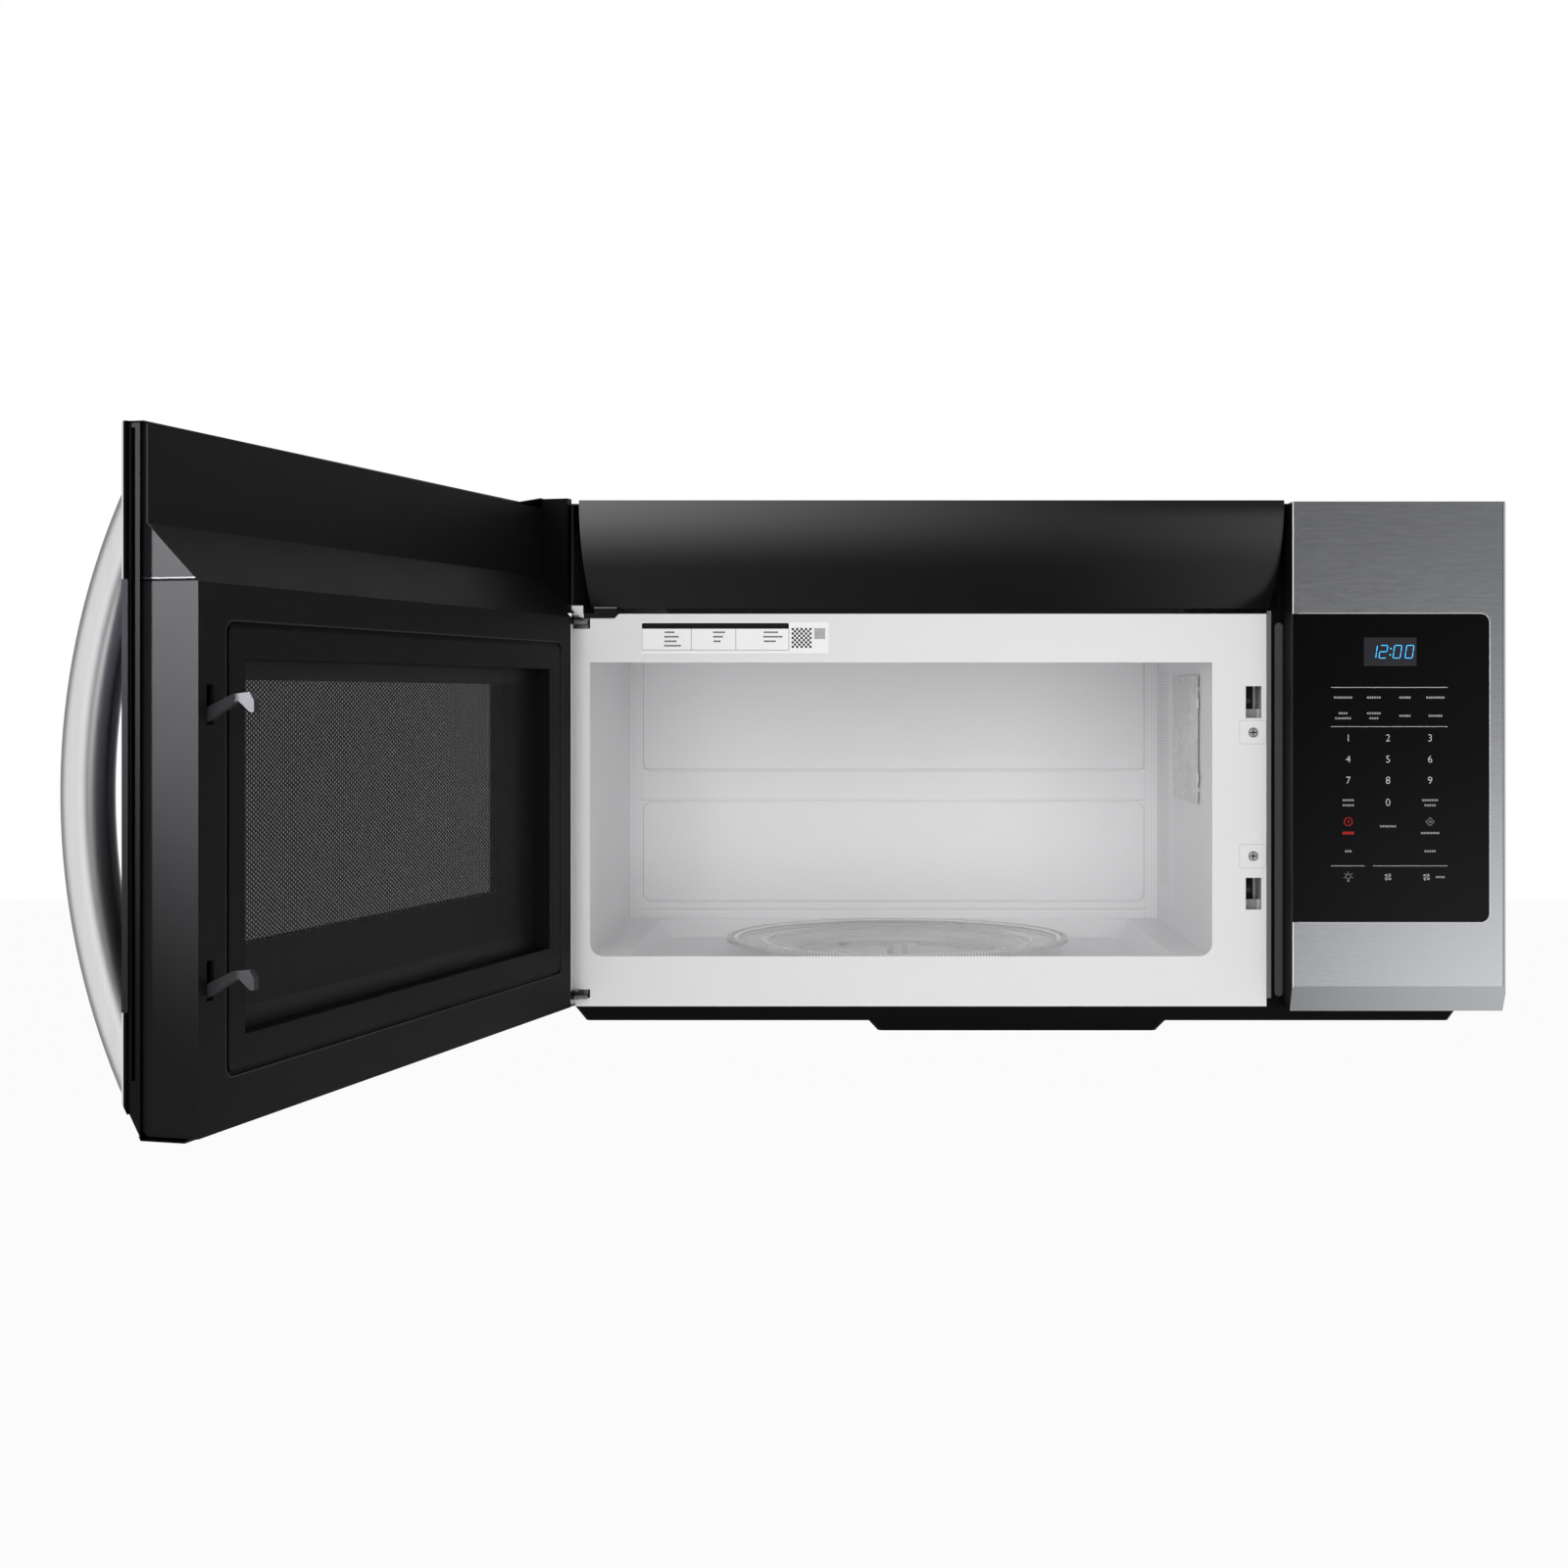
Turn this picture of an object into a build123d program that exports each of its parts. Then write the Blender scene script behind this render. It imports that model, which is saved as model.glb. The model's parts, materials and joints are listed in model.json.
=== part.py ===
from build123d import *
import math
import os

# Over the range microwave oven, in millimetres.
# +X is to the right, +Y is towards the wall and +Z is up. The origin is on the wall plane,
# behind the middle of the door and control panel. The door is drawn closed and then hung
# open about its hinge axis, which is how it rests.

# Overall
width = 760.0  # door and control panel together
front_height = 411.0  # door and control panel, top to bottom
depth = 402.0  # wall to the door's face
sheet = 1.2  # steel sheet of case, frame and fascia
case_inset = 2.0  # case side in from the door's side
case_rise = 2.5  # case top above the door's top
case_drop = 1.5  # case bottom below the door's bottom
face_clearance = 0.3  # between nested covers that aren't fastened face to face
running_clearance = 0.05  # radial, pin or shaft in its bore

# Door and control panel
door_thickness = 46.5
door_gap = 1.5  # closed door's inner face to the front frame
door_side_gap = 4.4  # door's free end to the control panel
door_open = 105.0  # degrees
cap_depth = 23.0  # cap over the hinge end of the recess
cap_rise = 6.0
tab_length = 50.0  # wedge of the skin that stands up beside the cap
tab_rise = 6.8
hinge_from_side = 6.0
hinge_from_face = 41.0
panel_width = 172.1
chamfer_height = 21.3  # along the lower front edge of door and panel
chamfer_depth = 11.5
front_corner = 3.5
glass_top = 90.3  # top of the door to the glass
glass_bottom = 72.8  # glass to the bottom of the door
glass_margin = 14.0  # steel beside the glass
glass_corner = 7.0
glass = 4.0

# Door inside
skin_top_return = 13.0
skin_side_return = 28.0
cover_start = 22.0  # hinge axis to the inner cover's edge
recess_start = 4.5  # hinge axis to the recess's end, which clears the vent grille
recess_low = 117.0  # the recess's hinge end stops above the hinge arm
cover_gap = 4.5  # door's free end to the inner cover
cover_wall = 2.4
recess_depth = 33.5  # inner face to the floor of the recess along the top
ramp_bottom = 113.5
ramp_top = 147.5
cover_drop = 203.5  # middle of the door to the cover's lower edge
groove_width = 2.2
groove_depth = 1.2
groove_start = 42.3  # hinge axis to the groove round the window
groove_from_end = 30.0  # inner cover's free end to the groove
groove_low = -173.5
groove_high = 92.0
groove_corner = 7.0
step_start = 66.0  # hinge axis to the window's stepped edge
step_from_end = 50.5
step_low = -151.0
step_high = 70.5
screen_drop = 13.0  # inner face to the perforated screen
screen_sheet = 0.6
frame_sheet = 1.5
window_start = 76.0  # hinge axis to the clear window of the glass
window_from_end = 49.0
window_margin = 27.0  # black edge of the glass above and below it
outer_frame_back = 11.0  # door face to the back of the plastic frame
latch_room = 38.0  # inner steel frame to the inner cover's free end

# Handle
handle_from_end = 28.0  # inner cover's free end to the handle's middle
handle_width = 29.0
handle_section = 30.0
handle_corner = 13.0
handle_reach = 59.0  # outer surface above the door's face, at the middle
handle_arc = 380.0  # radius of its middle line
handle_half = 175.0
handle_screw = 2.5
handle_screw_spacing = 310.0

# Latch
latch_from_end = 12.5  # inner cover's free end to the hooks
latch_width = 5.0
latch_pitch = 158.2  # upper hook to lower hook
slot_room = 7.6
catch_clearance = 0.7
hook_points = [(-9, 30), (-9, 38.5), (0, 42), (15.8, 49.5), (26.6, 50.6)]
hook_points += [(29.4, 45.9), (29.4, 39.1), (26.8, 39.1), (19.4, 45.6), (0, 34.1)]
spring_wire = 1.0
spring_radius = 4.0
spring_length = 18.0
spring_turns = 6
plunger = 2.0

# Hinges
pin = 3.0
bush_wall = 1.5
arm = 5.5  # radius of the arm's end
arm_sheet = 2.7
upper_arm = 108.3  # underside of the upper arm
lower_arm = -199.7
hinge_slots = ((104.7, 114.0), (-200.0, -193.0))  # low and high edge of each

# Front frame and cavity
frame_gap = 7.5  # door's free end to the front frame's edge
frame_top = 117.0
frame_tab_width = 9.8
frame_tab = 6.8
opening_left = 15.5  # case side to the opening
frame_post = 44.7  # opening to the front frame's free edge
opening_low = -165.7
opening_high = 76.9
opening_corner = 11.0
cavity_back = -26.0
cavity_top = 100.0
liner = 0.9
ledge = -167.0  # floor round the turntable well
well_depth = 17.0
well_bevel = 10.0
well_side = 30.0  # cavity side to the well
well_front = 6.0
well_corner = 24.0
emboss = 1.6
emboss_border = 12.0
emboss_band = (-53.0, -24.0)
slot_low = 31.0  # upper latch slot
slot_high = 57.3
slot_before = 7.6  # middle of the hooks to the slot's side towards the opening
slot_after = 5.3
frame_screw = 2.0
screw_aside = 1.6  # middle of the hooks to the screws
screw_z = (19.1, -82.9)
pad_width = 23.0
pad_height = 20.0
pad_rise = 0.6

# Turntable
tray = 153.0
tray_base = 137.0
tray_glass = 3.5
tray_rim = 7.0  # height of the dish
roller = 5.2
roller_width = 6.0
roller_ring_radius = 99.0
roller_gap = 0.3  # roller to tray and to floor
roller_axle = 1.5
shaft = 3.5
coupler_hub = 9.0
coupler_reach = 17.0
nub = 2.5

# Waveguide, magnetron and lamps
mica = 0.4
mica_front = -288.0
mica_rear = -146.0
mica_low = -43.3
mica_high = 67.2
mica_standoff = 1.4
guide_depth = 18.0
guide_margin = 8.0
magnetron_length = 66.0
magnetron_width = 84.0
magnetron_height = 80.0
fin_count = 8
fin = 1.0
antenna = 8.0
transformer_gap = 42.8  # cavity to the transformer
board_gap = 22.8  # front frame to the filter board

# Base
base_depth = 13.0  # pan below the case
base_inset_left = 2.0  # case side to the pan
base_inset_right = 22.0
base_setback = 1.8  # front frame to the pan
base_rear = 8.0
base_taper = 7.0
pod_depth = 9.0
pod_left = 133.0
pod_right = 115.0
pod_length = 96.0
pod_taper = 8.0
pod_wall = 2.0
lamp_cover_sheet = 1.6
filter_width = 190.0
filter_length = 130.0
filter_thickness = 8.0
filter_lip = 8.0
filter_offset = 245.0  # middle of the base to the middle of each filter
filter_back = 30.0  # pan's rear edge to the filter

# Vent
grille_gap_left = 10.2  # case side to the grille
grille_gap_right = 3.3  # grille to the control panel
grille_low = 121.6
grille_bulge = 32.0
grille_draw = 6.7  # each end leans in by this at the bottom
grille_wall = 2.5
grille_reach = 83.0  # top plate behind the curved front
tongue_low = 113.3  # tongue of the grille that laps the front frame
tongue_width = 29.5
grille_front = 17.0  # door's face to the front of the grille
louvre_count = 26
louvre_pitch = 21.0
louvre_width = 15.0
louvre_length = 50.0
duct_width = 254.0
duct_depth = 82.5
duct_back = 33.7  # wall to the duct
duct_height = 20.0
flap_pin = 2.0
flap_sheet = 1.0
blower_radius = 40.0
blower_length = 66.0
blower_shaft = 4.0
blower_middle = 76.0
blower_wall = 2.0
blade_count = 14
motor_radius = 30.0

# Cooling fan
fan_aside = 54.1  # control panel's edge to the fan's middle
fan_radius = 46.0
fan_front = 80.0  # wall to the front of the blades
fan_duct = 60.0
fan_blades = 5
fan_shaft = 2.5

# Wall plate and fixings
plate_sheet = 1.6
plate_inset = 15.0  # door's side to the plate's
plate_height = 380.0
plate_window = 80.0
bolt_room = 12.0  # hole in the back panel over each bolt head
wall_bolt = 4.0
wall_bolt_x = 406.4
wall_bolt_z = 250.0
top_bolt = 3.3
top_bolt_x = 520.0
top_bolt_y = -190.0
cord_hole = 5.5
cord_from_side = 58.0  # case side to the bushing
cord_y = -60.0
bushing = 10.9

# Worked out from the sizes above
left = -width / 2
right = width / 2
top = front_height / 2
bottom = -top
front = -depth
panel_left = right - panel_width
door_right = panel_left - door_side_gap
door_back = front + door_thickness
frame_front = door_back + door_gap
frame_back = frame_front + sheet
hinge_x = left + hinge_from_side
hinge_y = front + hinge_from_face
case_x = right - case_inset
case_in = case_x - sheet
case_top = top + case_rise
case_low = bottom - case_drop
rear = -plate_sheet
opening_x0 = -case_x + opening_left
frame_right = door_right - frame_gap
opening_x1 = frame_right - frame_post
glass_z0 = bottom + glass_bottom
glass_z1 = top - glass_top
cover_x0 = hinge_x + cover_start
cover_x1 = door_right - cover_gap
cover_end = cover_x1 - hinge_x
groove_end = cover_end - groove_from_end
step_end = cover_end - step_from_end
window_end = cover_end - window_from_end
handle_from_axis = cover_end - handle_from_end
latch_from_axis = cover_end - latch_from_end
recess_y = door_back - recess_depth
screen_y = door_back - screen_drop
outer_back_y = front + outer_frame_back
steel_right = cover_x1 - latch_room
latch_x = hinge_x + latch_from_axis
slot_start = latch_x - slot_before
slot_end = latch_x + slot_after
screw_x = latch_x - screw_aside
tray_x = (opening_x0 + opening_x1) / 2
tray_y = (frame_back + cavity_back) / 2
well_floor = ledge - well_depth
roller_z = well_floor + roller_gap + roller
tray_bottom = roller_z + roller + roller_gap
liner_right = opening_x1 + liner
grille_left = case_x - grille_gap_left
grille_right = panel_left - grille_gap_right
base_left = case_x - base_inset_left
base_right = case_x - base_inset_right
base_front = -frame_back - base_setback
fan_x = panel_left + fan_aside
plate_width = width - 2 * plate_inset
cord_x = case_x - cord_from_side
grille_y = front + grille_front
pan_low = case_low - base_depth
pod_low = pan_low - pod_depth
pod_front = -base_front + base_taper
blower_y = -duct_back - duct_depth / 2
blower_z = cavity_top + liner + 4 + blower_wall + blower_radius + 6


def block(x0, x1, y0, y1, z0, z1):
    """A box between two corners."""
    middle = Pos((x0 + x1) / 2, (y0 + y1) / 2, (z0 + z1) / 2)
    return middle * Box(x1 - x0, y1 - y0, z1 - z0)


def rod_x(radius, x0, x1, y, z):
    return Pos((x0 + x1) / 2, y, z) * Rot(0, 90, 0) * Cylinder(radius, x1 - x0)


def rod_y(radius, x, y0, y1, z):
    return Pos(x, (y0 + y1) / 2, z) * Rot(90, 0, 0) * Cylinder(radius, y1 - y0)


def rod_z(radius, x, y, z0, z1):
    return Pos(x, y, (z0 + z1) / 2) * Cylinder(radius, z1 - z0)


def slab_y(x0, x1, y0, y1, z0, z1, radius):
    """A plate facing along Y, with rounded corners."""
    plate = block(x0, x1, y0, y1, z0, z1)
    return fillet(plate.edges().filter_by(Axis.Y), radius)


def slab_z(x0, x1, y0, y1, z0, z1, radius):
    """A plate facing up, with rounded corners."""
    plate = block(x0, x1, y0, y1, z0, z1)
    return fillet(plate.edges().filter_by(Axis.Z), radius)


def prism_x(points, x0, x1):
    """An outline of (y, z) points drawn out along X."""
    outline = Wire.make_polygon([(x0, y, z) for y, z in points], close=True)
    return extrude(Face(outline), x1 - x0, dir=(1, 0, 0))


def prism_y(points, y0, y1):
    """An outline of (x, z) points drawn out along Y."""
    outline = Wire.make_polygon([(x, y0, z) for x, z in points], close=True)
    return extrude(Face(outline), y1 - y0, dir=(0, 1, 0))


def tapered(low, high, radius):
    """A block whose lower and upper outlines are (x0, x1, y0, y1, z), with round corners."""
    outlines = []
    for x0, x1, y0, y1, z in (low, high):
        outline = RectangleRounded(x1 - x0, y1 - y0, radius)
        outlines.append(Pos((x0 + x1) / 2, (y0 + y1) / 2, z) * outline)
    return loft(outlines, ruled=True)


def hang(shape):
    """Turns a piece of the closed door to where the open door carries it."""
    turn = Pos(hinge_x, hinge_y, 0) * Rot(0, 0, -door_open) * Pos(-hinge_x, -hinge_y, 0)
    return turn * shape


def front_profile(inset, back):
    """The (y, z) outline that door and panel share, with their chamfered lower edge."""
    slope = math.atan2(chamfer_depth, chamfer_height)
    knee = inset * math.tan(slope / 2)
    foot = inset * math.tan((math.pi / 2 - slope) / 2)
    return [
        (back, top - inset),
        (front + inset, top - inset),
        (front + inset, bottom + chamfer_height + knee),
        (front + chamfer_depth + foot, bottom + inset),
        (back, bottom + inset),
    ]


def round_front(solid, x, radius):
    """Rounds the upright front edge of a door or panel block at x."""
    edges = solid.edges().filter_by(Axis.Z).filter_by_position(Axis.X, x - 0.1, x + 0.1)
    return fillet(edges.sort_by(Axis.Y)[0], radius)


# Cabinet


def make_wall_plate():
    plate = block(-plate_width / 2, plate_width / 2, rear, 0, -plate_height / 2, plate_height / 2)
    for side in (-1, 1):
        x = side * wall_bolt_x / 4
        plate -= block(x - plate_window / 2, x + plate_window / 2, rear, 0,
                       -plate_window / 2, plate_window / 2)
        for z in (-wall_bolt_z / 2, wall_bolt_z / 2):
            plate -= rod_y(wall_bolt, side * wall_bolt_x / 2, rear - 1, 1, z)
    return plate


def make_back_panel():
    low = case_low + sheet
    high = case_top - sheet
    panel = block(-case_in, case_in, rear - 14, rear, low, high)
    panel -= block(-case_in + sheet, case_in - sheet, rear - 15, rear - sheet,
                   low + sheet, high - sheet)
    for x in (-wall_bolt_x / 2, wall_bolt_x / 2):
        for z in (-wall_bolt_z / 2, wall_bolt_z / 2):
            panel -= rod_y(bolt_room, x, rear - 16, rear + 1, z)
    return panel


def make_outer_case():
    plate_front = grille_y + grille_reach
    case = block(-case_x, case_x, plate_front, rear, case_top - sheet, case_top)
    case += block(grille_right + 1, case_x, frame_back, plate_front, case_top - sheet, case_top)
    case += block(-case_x, -grille_left - 0.3, frame_back, plate_front, case_top - sheet, case_top)
    for side in (-1, 1):
        inner, outer = sorted((side * case_in, side * case_x))
        case += block(inner, outer, frame_back, rear, case_low, case_top)
    case -= block(-duct_width / 2 + sheet, duct_width / 2 - sheet,
                  -duct_back - duct_depth + sheet, -duct_back - sheet, case_top - 3, case_top + 1)
    case -= rod_z(bushing + running_clearance, cord_x, cord_y, case_top - 3, case_top + 1)
    for side in (-1, 1):
        case -= rod_z(top_bolt, side * top_bolt_x / 2, top_bolt_y, case_top - 3, case_top + 1)
    for slot in range(9):
        y = -60 - 12 * slot
        case -= block(case_in - 1, case_x + 1, y - 5, y, 40, 90)
    return case


def make_base_pan():
    low_left = -base_left + base_taper + 2
    outer = tapered((low_left, base_right - base_taper, pod_front, -base_rear - 4, pan_low),
                    (-base_left, base_right, -base_front, -base_rear, case_low), 4)
    inner = tapered((low_left + sheet, base_right - base_taper - sheet, pod_front + sheet,
                     -base_rear - 4 - sheet, pan_low + sheet),
                    (-base_left + sheet, base_right - sheet, -base_front + sheet,
                     -base_rear - sheet, case_low), 3)
    pan = outer - inner
    pan += block(-case_in, case_in, frame_back, rear, case_low, case_low + sheet)
    for side in (-1, 1):
        x0 = side * filter_offset - filter_width / 2 + filter_lip
        x1 = side * filter_offset + filter_width / 2 - filter_lip
        y1 = -base_rear - filter_back - filter_lip
        y0 = y1 - filter_length + 2 * filter_lip
        pan -= block(x0, x1, y0, y1, pan_low - 1, pan_low + sheet + 1)
        pan -= block(side * filter_offset - 40, side * filter_offset + 40, -70, -30,
                     case_low - 1, case_low + sheet + 1)
    lamp_x = (pod_right - pod_left) / 2
    pan -= block(lamp_x - 20, lamp_x + 20, pod_front + 60, pod_front + 80, pan_low - 1, pan_low + 2)
    return pan


def make_lamp_housing():
    pod_rear = pod_front + pod_length
    outer = tapered((-pod_left + pod_taper, pod_right - pod_taper, pod_front + pod_taper / 2,
                     pod_rear - pod_taper / 2, pod_low),
                    (-pod_left, pod_right, pod_front + 0.5, pod_rear, pan_low), 5)
    room = slab_z(-pod_left + pod_taper + pod_wall, pod_right - pod_taper - pod_wall,
                  pod_front + pod_taper / 2 + pod_wall, pod_rear - pod_taper / 2 - pod_wall,
                  pod_low - 1, pan_low, 1.5)
    pod = outer - room
    hinge_line = lamp_cover_axis()
    return pod - rod_x(1.5 + running_clearance, -pod_left, pod_right, *hinge_line)


def lamp_cover_axis():
    """Place of the lamp cover's hinge line, as (y, z)."""
    return pod_front + pod_length - pod_taper / 2 - pod_wall - 4, pod_low + 2.5


def make_lamp_cover():
    hinge_line = lamp_cover_axis()
    x0 = -pod_left + pod_taper + pod_wall + 0.5
    x1 = pod_right - pod_taper - pod_wall - 0.5
    y0 = pod_front + pod_taper / 2 + pod_wall + 0.5
    cover = block(x0, x1, y0, hinge_line[0], pod_low, pod_low + lamp_cover_sheet)
    cover += rod_x(1.5, x0 - pod_wall, x1 + pod_wall, *hinge_line)
    cover += block(x0 + 20, x1 - 20, hinge_line[0] - 2, hinge_line[0] + 1,
                   pod_low + 1, hinge_line[1])
    return cover


def make_cooktop_lamps():
    lamp_x = (pod_right - pod_left) / 2
    y = pod_front + pod_length / 2 - 12
    lamps = block(lamp_x - 60, lamp_x + 60, y - 12, y + 12, pan_low - 1.4, pan_low)
    for side in (-1, 1):
        lamps += rod_z(7, lamp_x + 40 * side, y, pan_low - 4, pan_low - 1.4)
    return lamps


def make_grease_filter(side):
    middle = side * filter_offset
    y1 = -base_rear - filter_back
    y0 = y1 - filter_length
    z0 = pan_low + sheet + face_clearance
    x0 = middle - filter_width / 2
    x1 = middle + filter_width / 2
    part = block(x0, x1, y0, y1, z0, z0 + filter_thickness)
    part -= block(x0 + 7, x1 - 7, y0 + 7, y1 - 7, z0 + 1.5 + 3, z0 + filter_thickness + 1)
    part -= block(x0 + 7, x1 - 7, y0 + 7, y1 - 7, z0 - 1, z0 + 1.5)
    tab = block(middle - 12, middle + 12, y1 - filter_lip - 22, y1 - filter_lip - 20.5,
                z0 - 5, z0 + 2)
    return part + tab


def make_front_frame():
    plate = block(-case_x, frame_right, frame_front, frame_back, case_low, frame_top)
    plate += block(-case_x, -case_x + frame_tab_width, frame_front, frame_back,
                   frame_top, frame_top + frame_tab)
    mouth = block(opening_x0, opening_x1, frame_front - 1, frame_back + 1,
                  opening_low, opening_high)
    lower = mouth.edges().filter_by(Axis.Y).sort_by(Axis.Z)[:2]
    plate -= fillet(lower, opening_corner)
    for drop in (0, latch_pitch):
        plate -= block(slot_start, slot_end, frame_front - 1, frame_back + 1,
                       slot_low - drop, slot_high - drop)
    for low, high in hinge_slots:
        plate -= block(hinge_x - 2.5, opening_x0, frame_front - 1, frame_back + 1, low, high)
    for z in screw_z:
        plate += slab_y(screw_x - pad_width / 2 + 1, screw_x + pad_width / 2 - 1,
                        frame_front - pad_rise, frame_front, z - pad_height / 2,
                        z + pad_height / 2, 5)
        plate -= rod_y(frame_screw + 0.3, screw_x, frame_front - 2, frame_back + 1, z)
    return plate


def make_frame_screws():
    heads = []
    for z in screw_z:
        y = frame_front - pad_rise
        head = rod_y(4.2, screw_x, y - 0.6, y, z)
        head += rod_y(frame_screw, screw_x, y, frame_back + 16, z)
        for turn in (0, 90):
            cross = Pos(screw_x, y - 0.6, z) * Rot(0, turn, 0) * Box(4.6, 0.8, 0.9)
            head -= cross
        heads.append(head)
    return Compound(children=[solid for head in heads for solid in head.solids()])


def make_cavity_liner():
    outer = block(opening_x0 - liner, liner_right, frame_back, cavity_back + liner,
                  ledge - liner, cavity_top + liner)
    room = block(opening_x0, opening_x1, frame_back - 1, cavity_back, ledge, cavity_top)
    wells = []
    for grow in (0, liner):
        low = (opening_x0 + well_side + well_bevel - grow, opening_x1 - well_side - well_bevel + grow,
               frame_back + well_front + well_bevel - grow,
               cavity_back - well_front - well_bevel + grow, well_floor - grow)
        high = (opening_x0 + well_side - grow, opening_x1 - well_side + grow,
                frame_back + well_front - grow, cavity_back - well_front + grow, ledge)
        wells.append(tapered(low, high, well_corner))
    shell = outer - room + wells[1] - wells[0]
    for z0, z1 in ((ledge + 16, emboss_band[0]), (emboss_band[1], cavity_top - 8)):
        panel = slab_y(opening_x0 + emboss_border, opening_x1 - emboss_border,
                       cavity_back - emboss, cavity_back, z0, z1, 9)
        front_edges = panel.faces().sort_by(Axis.Y)[0].edges()
        shell += chamfer(front_edges, emboss - 0.2)
    guide = block(opening_x1 - 1, liner_right + 1, mica_front + guide_margin,
                  mica_rear - guide_margin, mica_low + guide_margin, mica_high - guide_margin)
    shell -= guide
    shell -= rod_z(shaft + 2, tray_x, tray_y, well_floor - 3, well_floor + 1)
    return shell


def make_waveguide_cover():
    x = opening_x1 - mica_standoff
    cover = block(x - mica, x, mica_front, mica_rear, mica_low, mica_high)
    for y in (mica_front + 4, mica_rear - 4):
        for z in (mica_low + 12, mica_high - 12):
            cover += rod_x(2, x, opening_x1, y, z)
    return cover


def make_waveguide():
    x1 = liner_right + guide_depth
    y0 = mica_front + guide_margin
    y1 = mica_rear - guide_margin
    z0 = mica_low + guide_margin
    z1 = mica_high - guide_margin
    guide = block(liner_right, x1, y0 - sheet, y1 + sheet, z0 - sheet, z1 + sheet)
    guide -= block(liner_right - 1, x1 - sheet, y0, y1, z0, z1)
    return guide - rod_x(antenna + 1, x1 - 3, x1 + 1, (y0 + y1) / 2, (z0 + z1) / 2)


def make_magnetron():
    x0 = liner_right + guide_depth
    y = (mica_front + mica_rear) / 2
    z = (mica_low + mica_high) / 2
    part = rod_x(antenna, x0 - 12, x0, y, z)
    part += block(x0, x0 + 2, y - magnetron_width / 2, y + magnetron_width / 2,
                  z - magnetron_height / 2, z + magnetron_height / 2)
    part += rod_x(20, x0, x0 + magnetron_length, y, z)
    part += block(x0 + magnetron_length - 2, x0 + magnetron_length, y - magnetron_width / 2,
                  y + magnetron_width / 2, z - magnetron_height / 2, z + magnetron_height / 2)
    for count in range(fin_count):
        x = x0 + 7 + count * (magnetron_length - 14) / (fin_count - 1)
        part += block(x - fin / 2, x + fin / 2, y - magnetron_width / 2 + 4,
                      y + magnetron_width / 2 - 4, z - magnetron_height / 2 + 6,
                      z + magnetron_height / 2 - 6)
    part += block(x0 + magnetron_length, x0 + magnetron_length + 16, y - 16, y + 16, z - 14, z + 14)
    for side in (-1, 1):
        part += block(x0, x0 + magnetron_length, y - magnetron_width / 2, y + magnetron_width / 2,
                      z + side * magnetron_height / 2 - 1, z + side * magnetron_height / 2 + 1)
    return part


def make_hv_transformer():
    floor = case_low + sheet
    x = liner_right + transformer_gap
    core = block(x, x + 95, -168, -98, floor, floor + 76)
    winding = slab_z(x + 17, x + 78, -182, -84, floor + 16, floor + 60, 14)
    return core + winding + block(x - 7, x + 102, -168, -98, floor, floor + 3)


def make_hv_capacitor():
    floor = case_low + sheet
    x = liner_right + transformer_gap + 110
    can = slab_z(x, x + 52, -170, -80, floor, floor + 96, 24)
    return can + block(x + 10, x + 17, -140, -130, floor + 96, floor + 106)


def make_noise_filter_board():
    y0 = frame_back + board_gap
    board = block(case_in - 8, case_in - 6.4, y0, y0 + 100, 100, 180)
    for y in (y0 + 8, y0 + 92):
        for z in (108, 172):
            board += rod_x(3, case_in - 6.4, case_in, y, z)
    board += rod_x(14, case_in - 28, case_in - 8, y0 + 30, 140)
    return board + block(case_in - 26, case_in - 8, y0 + 60, y0 + 86, 120, 160)


def make_cavity_lamp():
    y = -100
    socket = block(liner_right, liner_right + 24, y - 14, y + 14, 58, 86)
    return socket + rod_x(9, liner_right + 24, liner_right + 38, y, 72)


# Turntable


def make_turntable_motor():
    z1 = well_floor - liner
    motor = rod_z(25, tray_x, tray_y, z1 - 17, z1)
    motor += block(tray_x - 32, tray_x + 32, tray_y - 8, tray_y + 8, z1 - 2, z1)
    return motor - rod_z(shaft + running_clearance, tray_x, tray_y, z1 - 13, z1 + 1)


def make_drive_coupler():
    coupler = rod_z(shaft, tray_x, tray_y, well_floor - liner - 12, tray_bottom - 2)
    coupler += rod_z(coupler_hub, tray_x, tray_y, well_floor + 1, tray_bottom - 0.3)
    for turn in (0, 120, 240):
        arm_block = Pos(coupler_reach / 2, 0, 0) * Box(coupler_reach, 5, 4)
        coupler += Pos(tray_x, tray_y, tray_bottom - 2.3) * Rot(0, 0, turn) * arm_block
    return coupler


def make_glass_tray():
    profile = [
        (0, tray_bottom),
        (tray_base, tray_bottom),
        (tray, tray_bottom + tray_rim - tray_glass),
        (tray, tray_bottom + tray_rim),
        (tray - 5, tray_bottom + tray_rim),
        (tray_base - 2, tray_bottom + tray_glass),
        (0, tray_bottom + tray_glass),
    ]
    outline = Wire.make_polygon([(x, 0, z) for x, z in profile], close=True)
    dish = revolve(Face(outline), Axis.Z, 360)
    for turn in (60, 180, 300):
        x = 13 * math.cos(math.radians(turn))
        y = 13 * math.sin(math.radians(turn))
        dish += rod_z(nub, x, y, tray_bottom - 3.5, tray_bottom)
    return Pos(tray_x, tray_y, 0) * dish


def make_roller_ring():
    inner = roller_ring_radius - roller_width / 2 - 8
    outer = roller_ring_radius - roller_width / 2 - 2
    ring = Cylinder(outer, 4) - Cylinder(inner, 5)
    for turn in (0, 120, 240):
        axle = rod_x(roller_axle, outer - 2, roller_ring_radius + roller_width / 2 + 1.2, 0, 0)
        axle += rod_x(roller_axle + 1, roller_ring_radius + roller_width / 2 + 0.4,
                      roller_ring_radius + roller_width / 2 + 1.6, 0, 0)
        ring += Rot(0, 0, turn) * axle
    return Pos(tray_x, tray_y, roller_z) * ring


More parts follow.
